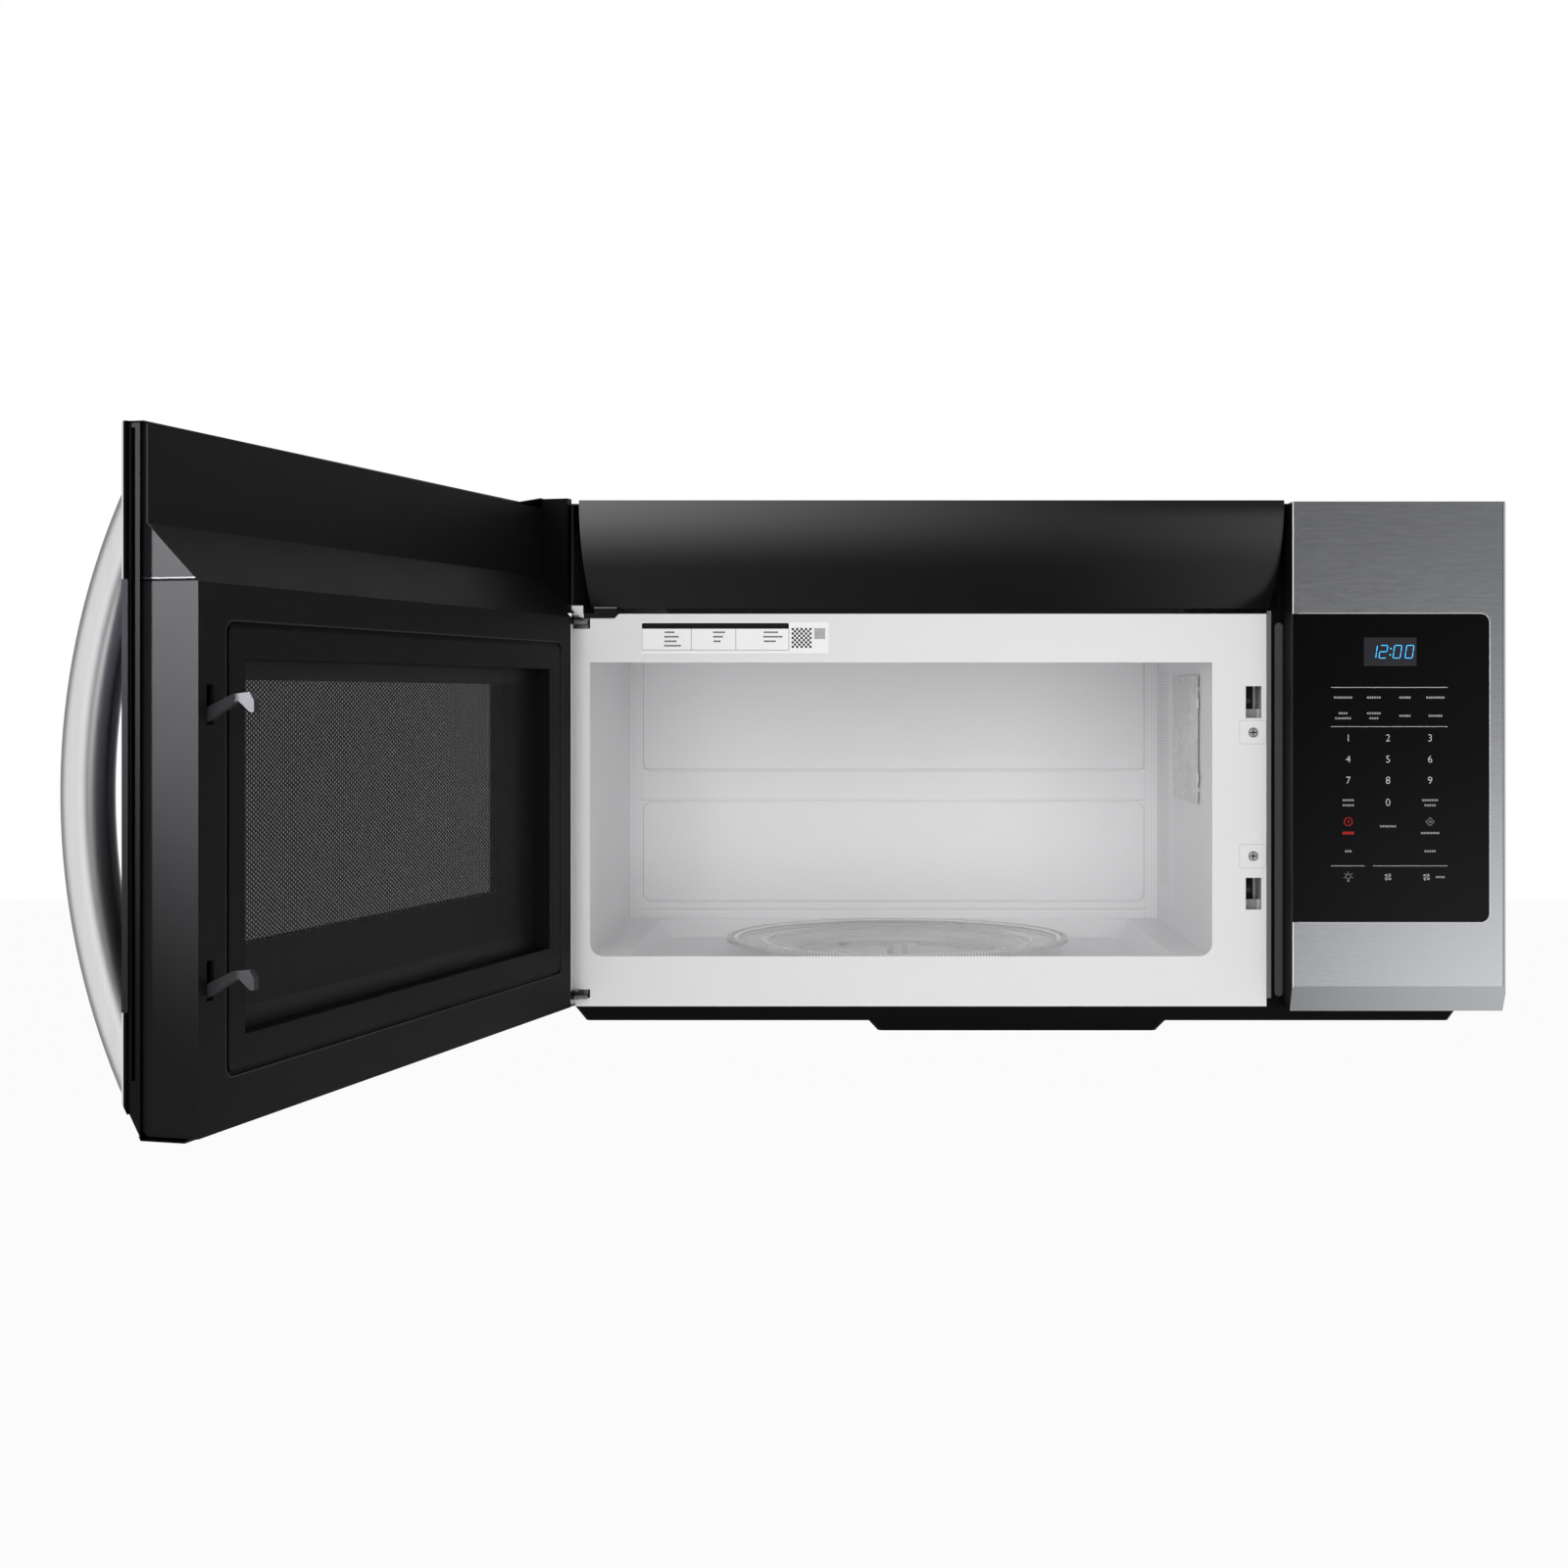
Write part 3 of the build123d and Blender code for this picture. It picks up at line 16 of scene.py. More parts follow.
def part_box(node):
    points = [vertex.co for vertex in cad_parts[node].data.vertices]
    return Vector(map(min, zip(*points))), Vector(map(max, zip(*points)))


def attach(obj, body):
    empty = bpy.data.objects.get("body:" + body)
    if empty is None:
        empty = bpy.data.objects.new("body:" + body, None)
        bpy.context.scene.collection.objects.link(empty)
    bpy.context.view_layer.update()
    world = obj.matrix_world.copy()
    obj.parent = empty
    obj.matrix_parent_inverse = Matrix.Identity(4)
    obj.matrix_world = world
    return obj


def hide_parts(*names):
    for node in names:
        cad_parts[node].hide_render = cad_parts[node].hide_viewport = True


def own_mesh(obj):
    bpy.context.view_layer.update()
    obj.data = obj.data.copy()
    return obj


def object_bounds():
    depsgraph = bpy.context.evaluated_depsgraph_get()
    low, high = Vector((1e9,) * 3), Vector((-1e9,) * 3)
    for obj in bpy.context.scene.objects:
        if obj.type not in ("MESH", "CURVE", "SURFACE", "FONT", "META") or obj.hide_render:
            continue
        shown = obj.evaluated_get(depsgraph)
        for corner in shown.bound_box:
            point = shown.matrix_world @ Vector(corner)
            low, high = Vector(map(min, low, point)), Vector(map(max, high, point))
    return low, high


bl_info = {
    "name": "Over the range microwave",
    "version": (1, 0, 0),
    "blender": (4, 5, 0),
    "location": "View3D > Sidebar > Microwave",
    "description": "Finishes and small pieces of an over the range microwave oven",
    "category": "Object",
}

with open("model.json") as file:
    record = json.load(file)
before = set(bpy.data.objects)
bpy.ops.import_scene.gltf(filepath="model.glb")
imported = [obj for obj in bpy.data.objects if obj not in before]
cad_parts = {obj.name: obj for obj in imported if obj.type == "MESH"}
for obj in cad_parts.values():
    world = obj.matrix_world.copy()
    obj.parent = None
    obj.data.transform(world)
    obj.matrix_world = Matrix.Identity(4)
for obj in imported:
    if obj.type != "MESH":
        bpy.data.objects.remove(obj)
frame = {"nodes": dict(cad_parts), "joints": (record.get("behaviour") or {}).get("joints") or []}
cad_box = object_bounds()
joints = {joint["name"]: joint for joint in frame["joints"]}

HINGE = Vector(joints["door_hinge"]["pos_m"])
DOOR_TURN = math.radians(joints["door_hinge"]["range_deg"][1])  # how far the door stands open
PANEL_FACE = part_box("control_glass")[0].y
FRAME_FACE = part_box("front_frame")[0].y

PRINT = 0.00008  # how far ink stands on what it is printed on
LABEL_THICK = 0.00012
FIGURE_SHARE = 0.72  # a figure's height as a share of its type size

NUMBER_COLUMNS = (0.2526, 0.2845, 0.3183)  # middles of the keys' three columns
FIRST_NUMBER_ROW = 0.0151
NUMBER_STEP = 0.017
ZERO_ROW = -0.0366
START_ROW = -0.0519  # stop and start marks
START_WORD_ROW = -0.061
LIGHT_ROW = -0.0964  # lamp and fan marks
CLOCK_ROW = 0.0847

SHADOW = (0.0005, 0.0005, 0.0005)  # painted shade for the bottom of a groove
GLINT = (0.97, 0.97, 0.97)  # painted highlight on a pressed edge of enamel


# Node trees


class Value:
    """A socket of a finish's node tree. Arithmetic on it adds Math nodes."""

    def __init__(self, finish, socket):
        self.finish = finish
        self.socket = socket

    def also(self, output):
        """Another output of the same node."""
        return Value(self.finish, self.socket.node.outputs[output])

    def math(self, operation, *others):
        return self.finish.node("ShaderNodeMath", {"operation": operation},
                                dict(enumerate((self, *others))))

    def reflected(self, operation, other):
        return self.finish.node("ShaderNodeMath", {"operation": operation}, {0: other, 1: self})

    def __add__(self, other):
        return self.math("ADD", other)

    def __sub__(self, other):
        return self.math("SUBTRACT", other)

    def __rsub__(self, other):
        return self.reflected("SUBTRACT", other)

    def __mul__(self, other):
        return self.math("MULTIPLY", other)

    def __truediv__(self, other):
        return self.math("DIVIDE", other)

    def __pow__(self, other):
        return self.math("POWER", other)

    def __lt__(self, other):
        return self.math("LESS_THAN", other)

    def __gt__(self, other):
        return self.math("GREATER_THAN", other)

    def __abs__(self):
        return self.math("ABSOLUTE")

    __radd__ = __add__
    __rmul__ = __mul__

    def within(self, low, high):
        """1 between two values and 0 elsewhere."""
        return (self > low) * (self < high)

    def ease(self, low, high):
        """0 at low, 1 at high and smooth between them."""
        return self.finish.node("ShaderNodeMapRange", {"interpolation_type": "SMOOTHSTEP"},
                                {0: self, 1: low, 2: high})


class Tree:
    """Nodes of a material or of the world."""

    def __init__(self, owner):
        owner.use_nodes = True
        self.tree = owner.node_tree

    def fill(self, node, inputs):
        for key, value in inputs.items():
            if isinstance(value, Value):
                self.tree.links.new(value.socket, node.inputs[key])
            else:
                node.inputs[key].default_value = value

    def node(self, kind, settings=None, inputs=None, output=0):
        made = self.tree.nodes.new(kind)
        for key, value in (settings or {}).items():
            setattr(made, key, value)
        self.fill(made, inputs or {})
        return Value(self, made.outputs[output])

    def split(self, vector):
        """The X, Y and Z of a vector."""
        first = self.node("ShaderNodeSeparateXYZ", None, {0: vector})
        return first, first.also(1), first.also(2)

    def mix(self, factor, first, second):
        """A colour between two colours."""
        return self.node("ShaderNodeMix", {"data_type": "RGBA"},
                         {0: factor, 6: first, 7: second}, 2)


def scaled(colour, factor):
    """A colour with its red, green and blue times a factor."""
    return [part * factor for part in colour[:3]]


class Finish(Tree):
    """A material on one Principled surface, in the frame's metres."""

    def __init__(self, name, colour, **sockets):
        self.material = bpy.data.materials.new(name)
        super().__init__(self.material)
        self.surface = self.tree.nodes["Principled BSDF"]
        self.colour = (*colour[:3], 1.0)
        self.put(base_color=self.colour, **sockets)

    def put(self, **sockets):
        """Sets or links sockets of the surface, such as specular_ior_level."""
        names = {key.name.lower().replace(" ", "_"): key.name for key in self.surface.inputs}
        self.fill(self.surface, {names[key]: value for key, value in sockets.items()})

    def place(self):
        """The place on the piece, as its Object coordinates."""
        return self.node("ShaderNodeTexCoord", output=3)

    def mapped(self, scale=(1, 1, 1), turn=0.0):
        """The place turned about the door's hinge, then stretched."""
        vector = self.place()
        if turn:
            shift = HINGE - Matrix.Rotation(turn, 3, "Z") @ HINGE
            vector = self.node("ShaderNodeMapping", None, {0: vector, 1: shift, 2: (0, 0, turn)})
        return self.node("ShaderNodeMapping", None, {0: vector, 3: scale})

    def door_place(self):
        """The place on the door as if it were closed."""
        return self.mapped(turn=DOOR_TURN)

    def noise(self, vector, scale, detail=2.0, roughness=0.5):
        sockets = {"Vector": vector, "Scale": scale, "Detail": detail, "Roughness": roughness}
        return self.node("ShaderNodeTexNoise", None, sockets)

    def cells(self, vector, scale):
        return self.node("ShaderNodeTexVoronoi", None, {"Vector": vector, "Scale": scale})

    def tone(self, factor, low, high):
        """The finish's colour, from low to high times as light."""
        dark = (*scaled(self.colour, low), 1.0)
        light = (*[min(part, 1.0) for part in scaled(self.colour, high)], 1.0)
        return self.mix(factor, dark, light)

    def over(self, mask, colour):
        """Lays another colour on the finish where the mask is 1."""
        socket = self.surface.inputs["Base Color"]
        under = Value(self, socket.links[0].from_socket) if socket.is_linked else self.colour
        self.put(base_color=self.mix(mask, under, (*colour[:3], 1.0)))

    def band(self, x, z, box, corner, width):
        """1 on a rounded frame of a width, just inside a box of x and z, and 0 elsewhere."""
        x0, x1, z0, z1 = box
        across = abs(x - (x0 + x1) / 2) - (x1 - x0) / 2 + corner
        up = abs(z - (z0 + z1) / 2) - (z1 - z0) / 2 + corner
        beyond = across.math("MAXIMUM", 0.0)
        above = up.math("MAXIMUM", 0.0)
        inside = across.math("MAXIMUM", up).math("MINIMUM", 0.0)
        reach = (beyond * beyond + above * above) ** 0.5 + inside - corner
        return reach.within(-width, 0.0)

    def bump(self, height, strength, distance):
        sockets = {"Strength": strength, "Distance": distance, "Height": height}
        self.put(normal=self.node("ShaderNodeBump", None, sockets))


def enamel(name, colour):
    """Baked white enamel with a faint orange peel."""
    finish = Finish(name, colour, specular_ior_level=0.25)
    place = finish.place()
    cloud = finish.noise(place, 9.0, 3.0)
    peel = finish.noise(place, 700.0, 2.0)
    finish.put(base_color=finish.tone(cloud, 0.97, 1.02), roughness=cloud * 0.08 + 0.3)
    finish.bump(peel, 0.05, 0.0003)
    return finish


def brushed(name, colour, scale, turn, roughness):
    """Brushed metal whose lines run along the axis with the lowest scale."""
    finish = Finish(name, colour, metallic=1.0)
    fine = finish.noise(finish.mapped(scale, turn), 1.0, 3.0, 0.7)
    coarse = finish.noise(finish.mapped(scaled(scale, 0.22), turn), 1.0, 2.0, 0.6)
    lines = fine * 0.6 + coarse * 0.4
    finish.put(base_color=finish.tone(lines, 0.8, 1.18),
               roughness=lines * 0.16 + (roughness - 0.08))
    finish.bump(lines, 0.08, 0.0002)
    return finish


def plated(name, colour, roughness=0.42):
    """Zinc plated sheet with soft spangles."""
    finish = Finish(name, colour, metallic=0.9)
    place = finish.place()
    spangle = finish.cells(place, 90.0)
    cloud = finish.noise(place, 30.0, 4.0)
    finish.put(base_color=finish.tone(spangle * 0.5 + cloud * 0.5, 0.75, 1.15),
               roughness=cloud * 0.2 + (roughness - 0.1))
    finish.bump(cloud, 0.05, 0.0005)
    return finish


def grained(name, colour, roughness, grain=1600.0, strength=0.25, level=0.4):
    """Moulded plastic or powder coat with a fine spark eroded grain."""
    finish = Finish(name, colour, specular_ior_level=level)
    place = finish.place()
    cloud = finish.noise(place, 14.0, 4.0)
    speck = finish.noise(place, grain, 2.0, 0.6)
    finish.put(base_color=finish.tone(cloud * 0.6 + speck * 0.4, 0.8, 1.2),
               roughness=cloud * 0.12 + (roughness - 0.06))
    finish.bump(speck, strength, 0.0003)
    return finish


def polished(name, colour, roughness, level):
    """Polished dark plastic or backed glass, with a faint film of handling on it."""
    finish = Finish(name, colour, specular_ior_level=level)
    place = finish.place()
    film = finish.noise(place, 11.0, 5.0, 0.6)
    ripple = finish.noise(place, 24.0, 1.0)
    finish.put(base_color=finish.tone(film, 0.85, 1.15),
               roughness=film * 0.08 + (roughness - 0.03))
    finish.bump(ripple, 0.02, 0.001)
    return finish


def clear_glass(name, colour, alpha):
    """Clear pressed glass that shows by its edges and highlights."""
    finish = Finish(name, colour, specular_ior_level=0.8)
    edge = finish.node("ShaderNodeLayerWeight", None, {"Blend": 0.35}, "Facing")
    swirl = finish.noise(finish.place(), 60.0, 3.0)
    finish.put(alpha=edge * (0.85 - alpha) + alpha, roughness=swirl * 0.08 + 0.03)
    return finish


def pressed_tray(name, colour):
    """Clear glass of the turntable tray, with faint rings, a beaded rim, and painted highlights and
    shade.
    """
    finish = Finish(name, colour, specular_ior_level=0.8)
    base_edge, slope_foot, slope_top, lip, rim_edge = 0.1175, 0.121, 0.1435, 0.147, 0.1485
    groove = 0.0015  # width of the painted shade line under the lip
    ring_rate, beads = 420.0, 330.0
    low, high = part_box("glass_tray")
    centre = (low + high) / 2
    x, y, _ = finish.split(finish.place())
    x = x - centre.x
    y = y - centre.y
    radius = (x * x + y * y) ** 0.5
    rings = (radius * ring_rate).math("SINE") * 0.5 + 0.5
    rays = (y.math("ARCTAN2", x) * beads).math("SINE") * 0.5 + 0.5
    rim = radius > rim_edge
    foot = radius.within(base_edge, slope_foot) * 0.6
    highlight_rings = radius.within(slope_top, lip).math("MAXIMUM", foot)
    slope = radius.within(slope_foot, slope_top)
    facing = finish.node("ShaderNodeLayerWeight", None, {"Blend": 0.35}, "Facing")
    swirl = finish.noise(finish.place(), 40.0, 3.0)
    base = facing * 0.1 + swirl * 0.14 + rings * 0.08
    # The white rings on the lip and at the slope's foot, and the rim's white, are painted
    # highlights.
    finish.put(alpha=base + slope * 0.1 + highlight_rings * 0.85 + rim * 0.6,
               roughness=swirl * 0.08 + 0.05)
    # The dark ticks on the rim's beads are painted shade on real beads; the line under the lip is
    # painted shade.
    finish.over(rim * rays * 0.7, (0.2, 0.2, 0.2))
    finish.over(radius.within(slope_top - groove, slope_top) * 0.6, (0.3, 0.3, 0.31))
    finish.bump(rings * 0.3 + rays * rim, 0.15, 0.001)
    return finish


def speckled(name, colour, roughness, scale):
    """Mica, circuit board or carbon, with small flecks."""
    finish = Finish(name, colour, specular_ior_level=0.35)
    place = finish.place()
    fleck = finish.cells(place, scale)
    cloud = finish.noise(place, scale * 0.15, 3.0)
    finish.put(base_color=finish.tone(fleck * 0.5 + cloud * 0.5, 0.7, 1.2),
               roughness=cloud * 0.15 + (roughness - 0.08))
    finish.bump(fleck, 0.2, 0.0006)
    return finish


def mesh_sheet(name, colour, pitch):
    """Expanded aluminium mesh, as a pattern of crossing strands with painted shade in the openings
    between them.
    """
    finish = Finish(name, colour, metallic=0.85)
    x, y, _ = finish.split(finish.place())
    along = ((x + y) * (math.pi / pitch)).math("SINE")
    across = ((x - y) * (math.pi / pitch)).math("SINE")
    strand = abs(along).math("MINIMUM", abs(across))
    gap = strand.ease(0.18, 0.45)
    # the openings between strands are painted dark, painted shade
    finish.put(base_color=finish.tone(1 - gap, 0.12, 1.0), roughness=gap * 0.25 + 0.35)
    finish.bump(1 - gap, 0.6, 0.0012)
    return finish


def glowing(name, colour, strength):
    """Lit segments of the clock."""
    finish = Finish(name, colour, roughness=0.5, emission_strength=strength)
    glow = finish.noise(finish.place(), 900.0, 1.0)
    finish.put(emission_color=finish.tone(glow, 0.9, 1.1))
    return finish


def ink(name, colour):
    """Screen printed ink."""
    finish = Finish(name, colour, roughness=0.45, specular_ior_level=0.12)
    finish.put(base_color=finish.tone(finish.noise(finish.place(), 2500.0, 1.0), 0.9, 1.05))
    return finish


def dress(finish, *nodes):
    """Gives CAD nodes a finish."""
    for name in nodes:
        slots = frame["nodes"][name].data.materials
        slots.clear()
        slots.append(finish.material)


# Meshes


def new_piece(name, mesh, finish, body):
    """A finished piece at the origin, riding on a body."""
    data = bpy.data.meshes.new(name)
    mesh.to_mesh(data)
    mesh.free()
    piece = bpy.data.objects.new(name, data)
    bpy.context.scene.collection.objects.link(piece)
    data.materials.append(finish.material)
    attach(piece, body)
    return piece


def patch(mesh, x0, x1, z0, z1, y, thick=PRINT, radius=0.0):
    """A thin upright plate with its back at y, and round corners."""
    size = Matrix.Diagonal((x1 - x0, thick, z1 - z0, 1))
    middle = Matrix.Translation(((x0 + x1) / 2, y - thick / 2, (z0 + z1) / 2))
    made = bmesh.ops.create_cube(mesh, size=1.0, matrix=middle @ size)["verts"]
    if radius:
        edges = {edge for vert in made for edge in vert.link_edges
                 if abs(edge.verts[0].co.y - edge.verts[1].co.y) > thick / 2}
        bmesh.ops.bevel(mesh, geom=list(edges), offset=radius, affect="EDGES", segments=6,
                        profile=0.5, material=-1)
    return made


def outline(mesh, x, z, radius, width, sides, y, turn=0.0):
    """A printed ring or polygon line."""
    shape = (Matrix.Translation((x, y - PRINT, z)) @ Matrix.Rotation(math.pi / 2, 4, "X")
             @ Matrix.Rotation(turn, 4, "Z"))
    loops = []
    for reach in (radius, radius - width):
        verts = bmesh.ops.create_circle(mesh, segments=sides, radius=reach, matrix=shape)["verts"]
        loops += list({edge for vert in verts for edge in vert.link_edges})
    bmesh.ops.bridge_loops(mesh, edges=loops)


def disc(mesh, x, z, radius, y, squeeze=1.0, turn=0.0):
    """A printed dot or petal."""
    shape = (Matrix.Translation((x, y - PRINT, z)) @ Matrix.Rotation(turn, 4, "Y")
             @ Matrix.Diagonal((squeeze, 1, 1, 1)) @ Matrix.Rotation(math.pi / 2, 4, "X"))
    bmesh.ops.create_circle(mesh, cap_ends=True, segments=14, radius=radius, matrix=shape)


def figures(mesh, text, size, x, z, y):
    """Printed numbers, centred."""
    thinning = 0.018  # of the type size, off every side of a stroke
    curve = bpy.data.curves.new("figures", "FONT")
    curve.body = text
    curve.size = size
    curve.align_x = "CENTER"
    curve.align_y = "CENTER"
    curve.offset = -size * thinning
    holder = bpy.data.objects.new("figures", curve)
    flat = bpy.data.meshes.new_from_object(holder)
    flat.transform(Matrix.Translation((x, y - PRINT, z)) @ Matrix.Rotation(math.pi / 2, 4, "X"))
    mesh.from_mesh(flat)
    bpy.data.objects.remove(holder)
    bpy.data.curves.remove(curve)
    bpy.data.meshes.remove(flat)


def dashes(mesh, x, z, count, y, height=0.0016, step=0.0019, width=0.0013):
    """A row of small dashes, which stands where a key has its words."""
    for place in range(count):
        left = x + (place - (count - 1) / 2) * step - width / 2
        patch(mesh, left, left + width, z - height / 2, z + height / 2, y)


def clock_figure(mesh, lit, x, z, width, height, y, lean):
    """One figure of the clock, of slanting bars with a gap at their ends."""
    bar = 0.00125
    gap = 0.00035
    half = height / 2
    spots = {
        "top": (0, half, width, bar), "mid": (0, 0, width, bar), "low": (0, -half, width, bar),
        "tl": (-width / 2, half / 2, bar, half), "tr": (width / 2, half / 2, bar, half),
        "bl": (-width / 2, -half / 2, bar, half), "br": (width / 2, -half / 2, bar, half),
    }
    for name in lit:
        across, up, wide, tall = spots[name]
        made = patch(mesh, across - wide / 2 + gap, across + wide / 2 - gap,
                     up - tall / 2 + gap, up + tall / 2 - gap, y)
        for vert in made:
            vert.co.x += x + vert.co.z * lean
            vert.co.z += z


# Settings


class CabinetSettings(bpy.types.PropertyGroup):
    enamel: FloatVectorProperty(name="Enamel", description="Colour of the front frame",
                                subtype="COLOR", default=(0.77, 0.77, 0.78), min=0, max=1)
    liner: FloatVectorProperty(name="Liner", description="Colour of the cavity's walls",
                               subtype="COLOR", default=(0.89, 0.89, 0.9), min=0, max=1)
    steel: FloatVectorProperty(name="Stainless steel", description="Colour of panel and door skin",
                               subtype="COLOR", default=(0.56, 0.57, 0.59), min=0, max=1)
    grille: FloatVectorProperty(name="Grille", description="Colour of the vent grille",
                                subtype="COLOR", default=(0.0045, 0.0045, 0.0048), min=0, max=1)


class DoorSettings(bpy.types.PropertyGroup):
    cover: FloatVectorProperty(name="Inner cover", description="Colour of the door's inner cover",
                               subtype="COLOR", default=(0.006, 0.006, 0.0064), min=0, max=1)
    hole_pitch: FloatProperty(name="Hole pitch", description="Distance between holes of the screen",
                              default=0.0029, min=0.001, max=0.01, unit="LENGTH")
    hole: FloatProperty(name="Hole radius", description="Radius of the screen's holes",
                        default=0.00078, min=0.0002, max=0.004, unit="LENGTH")
    tint: FloatProperty(name="Tint", description="How dark the door's glass is", subtype="FACTOR",
                        default=0.62, min=0, max=1)


class PanelSettings(bpy.types.PropertyGroup):
    figure: FloatProperty(name="Figures", description="Height of the numbers on the keys",
                          default=0.006, min=0.003, max=0.015, unit="LENGTH")
    clock: FloatVectorProperty(name="Clock", description="Colour of the lit clock", subtype="COLOR",
                               default=(0.05, 0.42, 0.85), min=0, max=1)
    lean: FloatProperty(name="Lean", description="Slant of the clock's figures",
                        default=math.radians(8), min=0, max=0.5, subtype="ANGLE")


class StageSettings(bpy.types.PropertyGroup):
    floor_drop: FloatProperty(name="Floor", description="From the lowest piece down to the floor",
                              default=0.75, min=0, max=3, unit="LENGTH")
    key: FloatProperty(name="Key light", description="Power of the light at the left",
                       default=14.0, min=0, max=500, unit="POWER")
    fill: FloatProperty(name="Front light", description="Power of the wide light beside the camera",
                        default=44.0, min=0, max=500, unit="POWER")
    overhead: FloatProperty(name="Top light", description="Power of the light above",
                            default=7.0, min=0, max=500, unit="POWER")
    back: FloatProperty(name="Back light", description="Power of the light behind",
                        default=8.0, min=0, max=500, unit="POWER")
    end: FloatProperty(name="End light", description="Power of the narrow light on the door's end",
                       default=19.0, min=0, max=500, unit="POWER")
    ambient: FloatProperty(name="Ambient", description="Light from all round",
                           default=0.25, min=0, max=2)


# Operators


# Each lamp's name, place and size, and the setting with its power. All aim at the oven's middle.
LAMPS = (
    ("key_light", (-1.35, -2.3, 0.5), (1.3, 1.1), "key"),
    ("front_light", (0.05, -3.1, 0.2), (2.6, 2.0), "fill"),
    ("top_light", (0.1, -0.7, 2.2), (1.8, 0.9), "overhead"),
    ("back_light", (-0.6, 2.3, 1.4), (2.0, 1.0), "back"),
)
OVEN_MIDDLE = Vector((0, -0.35, 0))
END_LIGHT_PLACE = (-1.6, -1.17, 0.42)
DOOR_END = Vector((-0.52, -0.98, 0.15))
CAMERA_PLACE = (-0.1457, -2.1503, 0.0462)
CAMERA_LENS = 49.95
CAMERA_SENSOR = 36.0
CAMERA_SHIFT = (-0.04375, -0.0538)


class MICROWAVE_OT_stage(bpy.types.Operator):
    """Makes the floor, world, lights and camera"""

    bl_idname = "microwave.stage"
    bl_label = "Stage"

    def execute(self, context):
        settings = context.scene.microwave_stage
        self.floor(cad_box[0][2] - settings.floor_drop)
        self.world(context.scene, settings.ambient)
        for name, place, size, power in LAMPS:
            self.lamp(name, place, OVEN_MIDDLE, size, getattr(settings, power))
        end = self.lamp("end_light", END_LIGHT_PLACE, DOOR_END, (0.1, 0.1), settings.end)
        end.spread = math.radians(25)
        self.camera(context.scene)
        context.scene.view_settings.view_transform = "Standard"
        return {"FINISHED"}

    def floor(self, height):
        """A pale floor that keeps the object's shadow."""
        reach = 9.0
        mesh = bmesh.new()
        bmesh.ops.create_grid(mesh, x_segments=4, y_segments=4, size=reach,
                              matrix=Matrix.Translation((0, 0, height)))
        data = bpy.data.meshes.new("floor")
        mesh.to_mesh(data)
        mesh.free()
        floor = bpy.data.objects.new("floor", data)
        bpy.context.scene.collection.objects.link(floor)
        finish = Finish("floor_paint", (0.82, 0.82, 0.82), roughness=0.8)
        glow = finish.node("ShaderNodeEmission", None, {0: (1, 1, 1, 1)})
        paint = Value(finish, finish.surface.outputs[0])
        cover = finish.node("ShaderNodeMixShader", None,
                            {0: self.seen(finish) * 0.95, 1: paint, 2: glow})
        finish.fill(finish.tree.nodes["Material Output"], {0: cover})
        data.materials.append(finish.material)
        floor.visible_glossy = False

    def seen(self, tree):
        """1 for what the camera sees straight or through glass, and less for what gloss shows."""
        ray = tree.node("ShaderNodeLightPath")
        gloss = ray.also("Is Glossy Ray") * 0.42
        return ray.math("MAXIMUM", gloss).math("MAXIMUM", ray.also("Is Transmission Ray"))

    def world(self, scene, ambient):
        """White behind the object, and a room in front of it for metal and gloss to show.

        x, y and z are parts of the direction from the object: to its right, to the wall and up.
        """
        world = bpy.data.worlds.new("studio")
        scene.world = world
        tree = Tree(world)
        x, y, z = tree.split(tree.node("ShaderNodeTexCoord", output=0))
        ray = tree.node("ShaderNodeLightPath")
        table_top = z.ease(0.04, -0.16) * 1.3 - z.ease(-0.3, -0.7) * 0.6 + 0.2
        table = table_top * x.ease(0.1, 0.3) * x.ease(0.62, 0.38)
        pane = x.ease(0.25, -0.2) ** 2 * 1.15 + 0.05
        window = pane * (z.ease(-0.75, 0.1) + 0.12) * x.ease(-0.6, -0.3)
        left_wall = x.ease(-0.3, -0.5) * 1.2
        right_wall = x.ease(0.65, 0.95) * 0.8
        room = table + window + left_wall + right_wall
        behind = y.ease(-0.25, 0.35)
        backdrop = 0.85 - x.ease(0.25, -0.15) * 0.5
        glossy = behind * backdrop + (1 - behind) * room
        seen = (ray + ray.also("Is Transmission Ray")).math("MINIMUM", 1.0)
        gloss = ray.also("Is Glossy Ray")
        strength = seen + (1 - seen) * (gloss * glossy + (1 - gloss) * ambient)
        tree.fill(tree.tree.nodes["Background"], {0: (1, 1, 1, 1), 1: strength})

    def lamp(self, name, place, aim, size, power):
        """A soft lamp that gloss and metal don't show."""
        data = bpy.data.lights.new(name, "AREA")
        data.shape = "RECTANGLE"
        data.size, data.size_y = size
        data.energy = power
        lamp = bpy.data.objects.new(name, data)
        lamp.location = place
        lamp.visible_glossy = False
        lamp.rotation_euler = (aim - Vector(place)).to_track_quat("-Z", "Y").to_euler()
        bpy.context.scene.collection.objects.link(lamp)
        return data

    def camera(self, scene):
        """A level camera, square to the wall and a little to the left."""
        data = bpy.data.cameras.new("camera")
        data.lens = CAMERA_LENS
        data.sensor_width = CAMERA_SENSOR
        data.shift_x, data.shift_y = CAMERA_SHIFT
        camera = bpy.data.objects.new("camera", data)
        camera.location = CAMERA_PLACE
        camera.rotation_euler = (math.pi / 2, 0, 0)
        scene.collection.objects.link(camera)
        scene.camera = camera


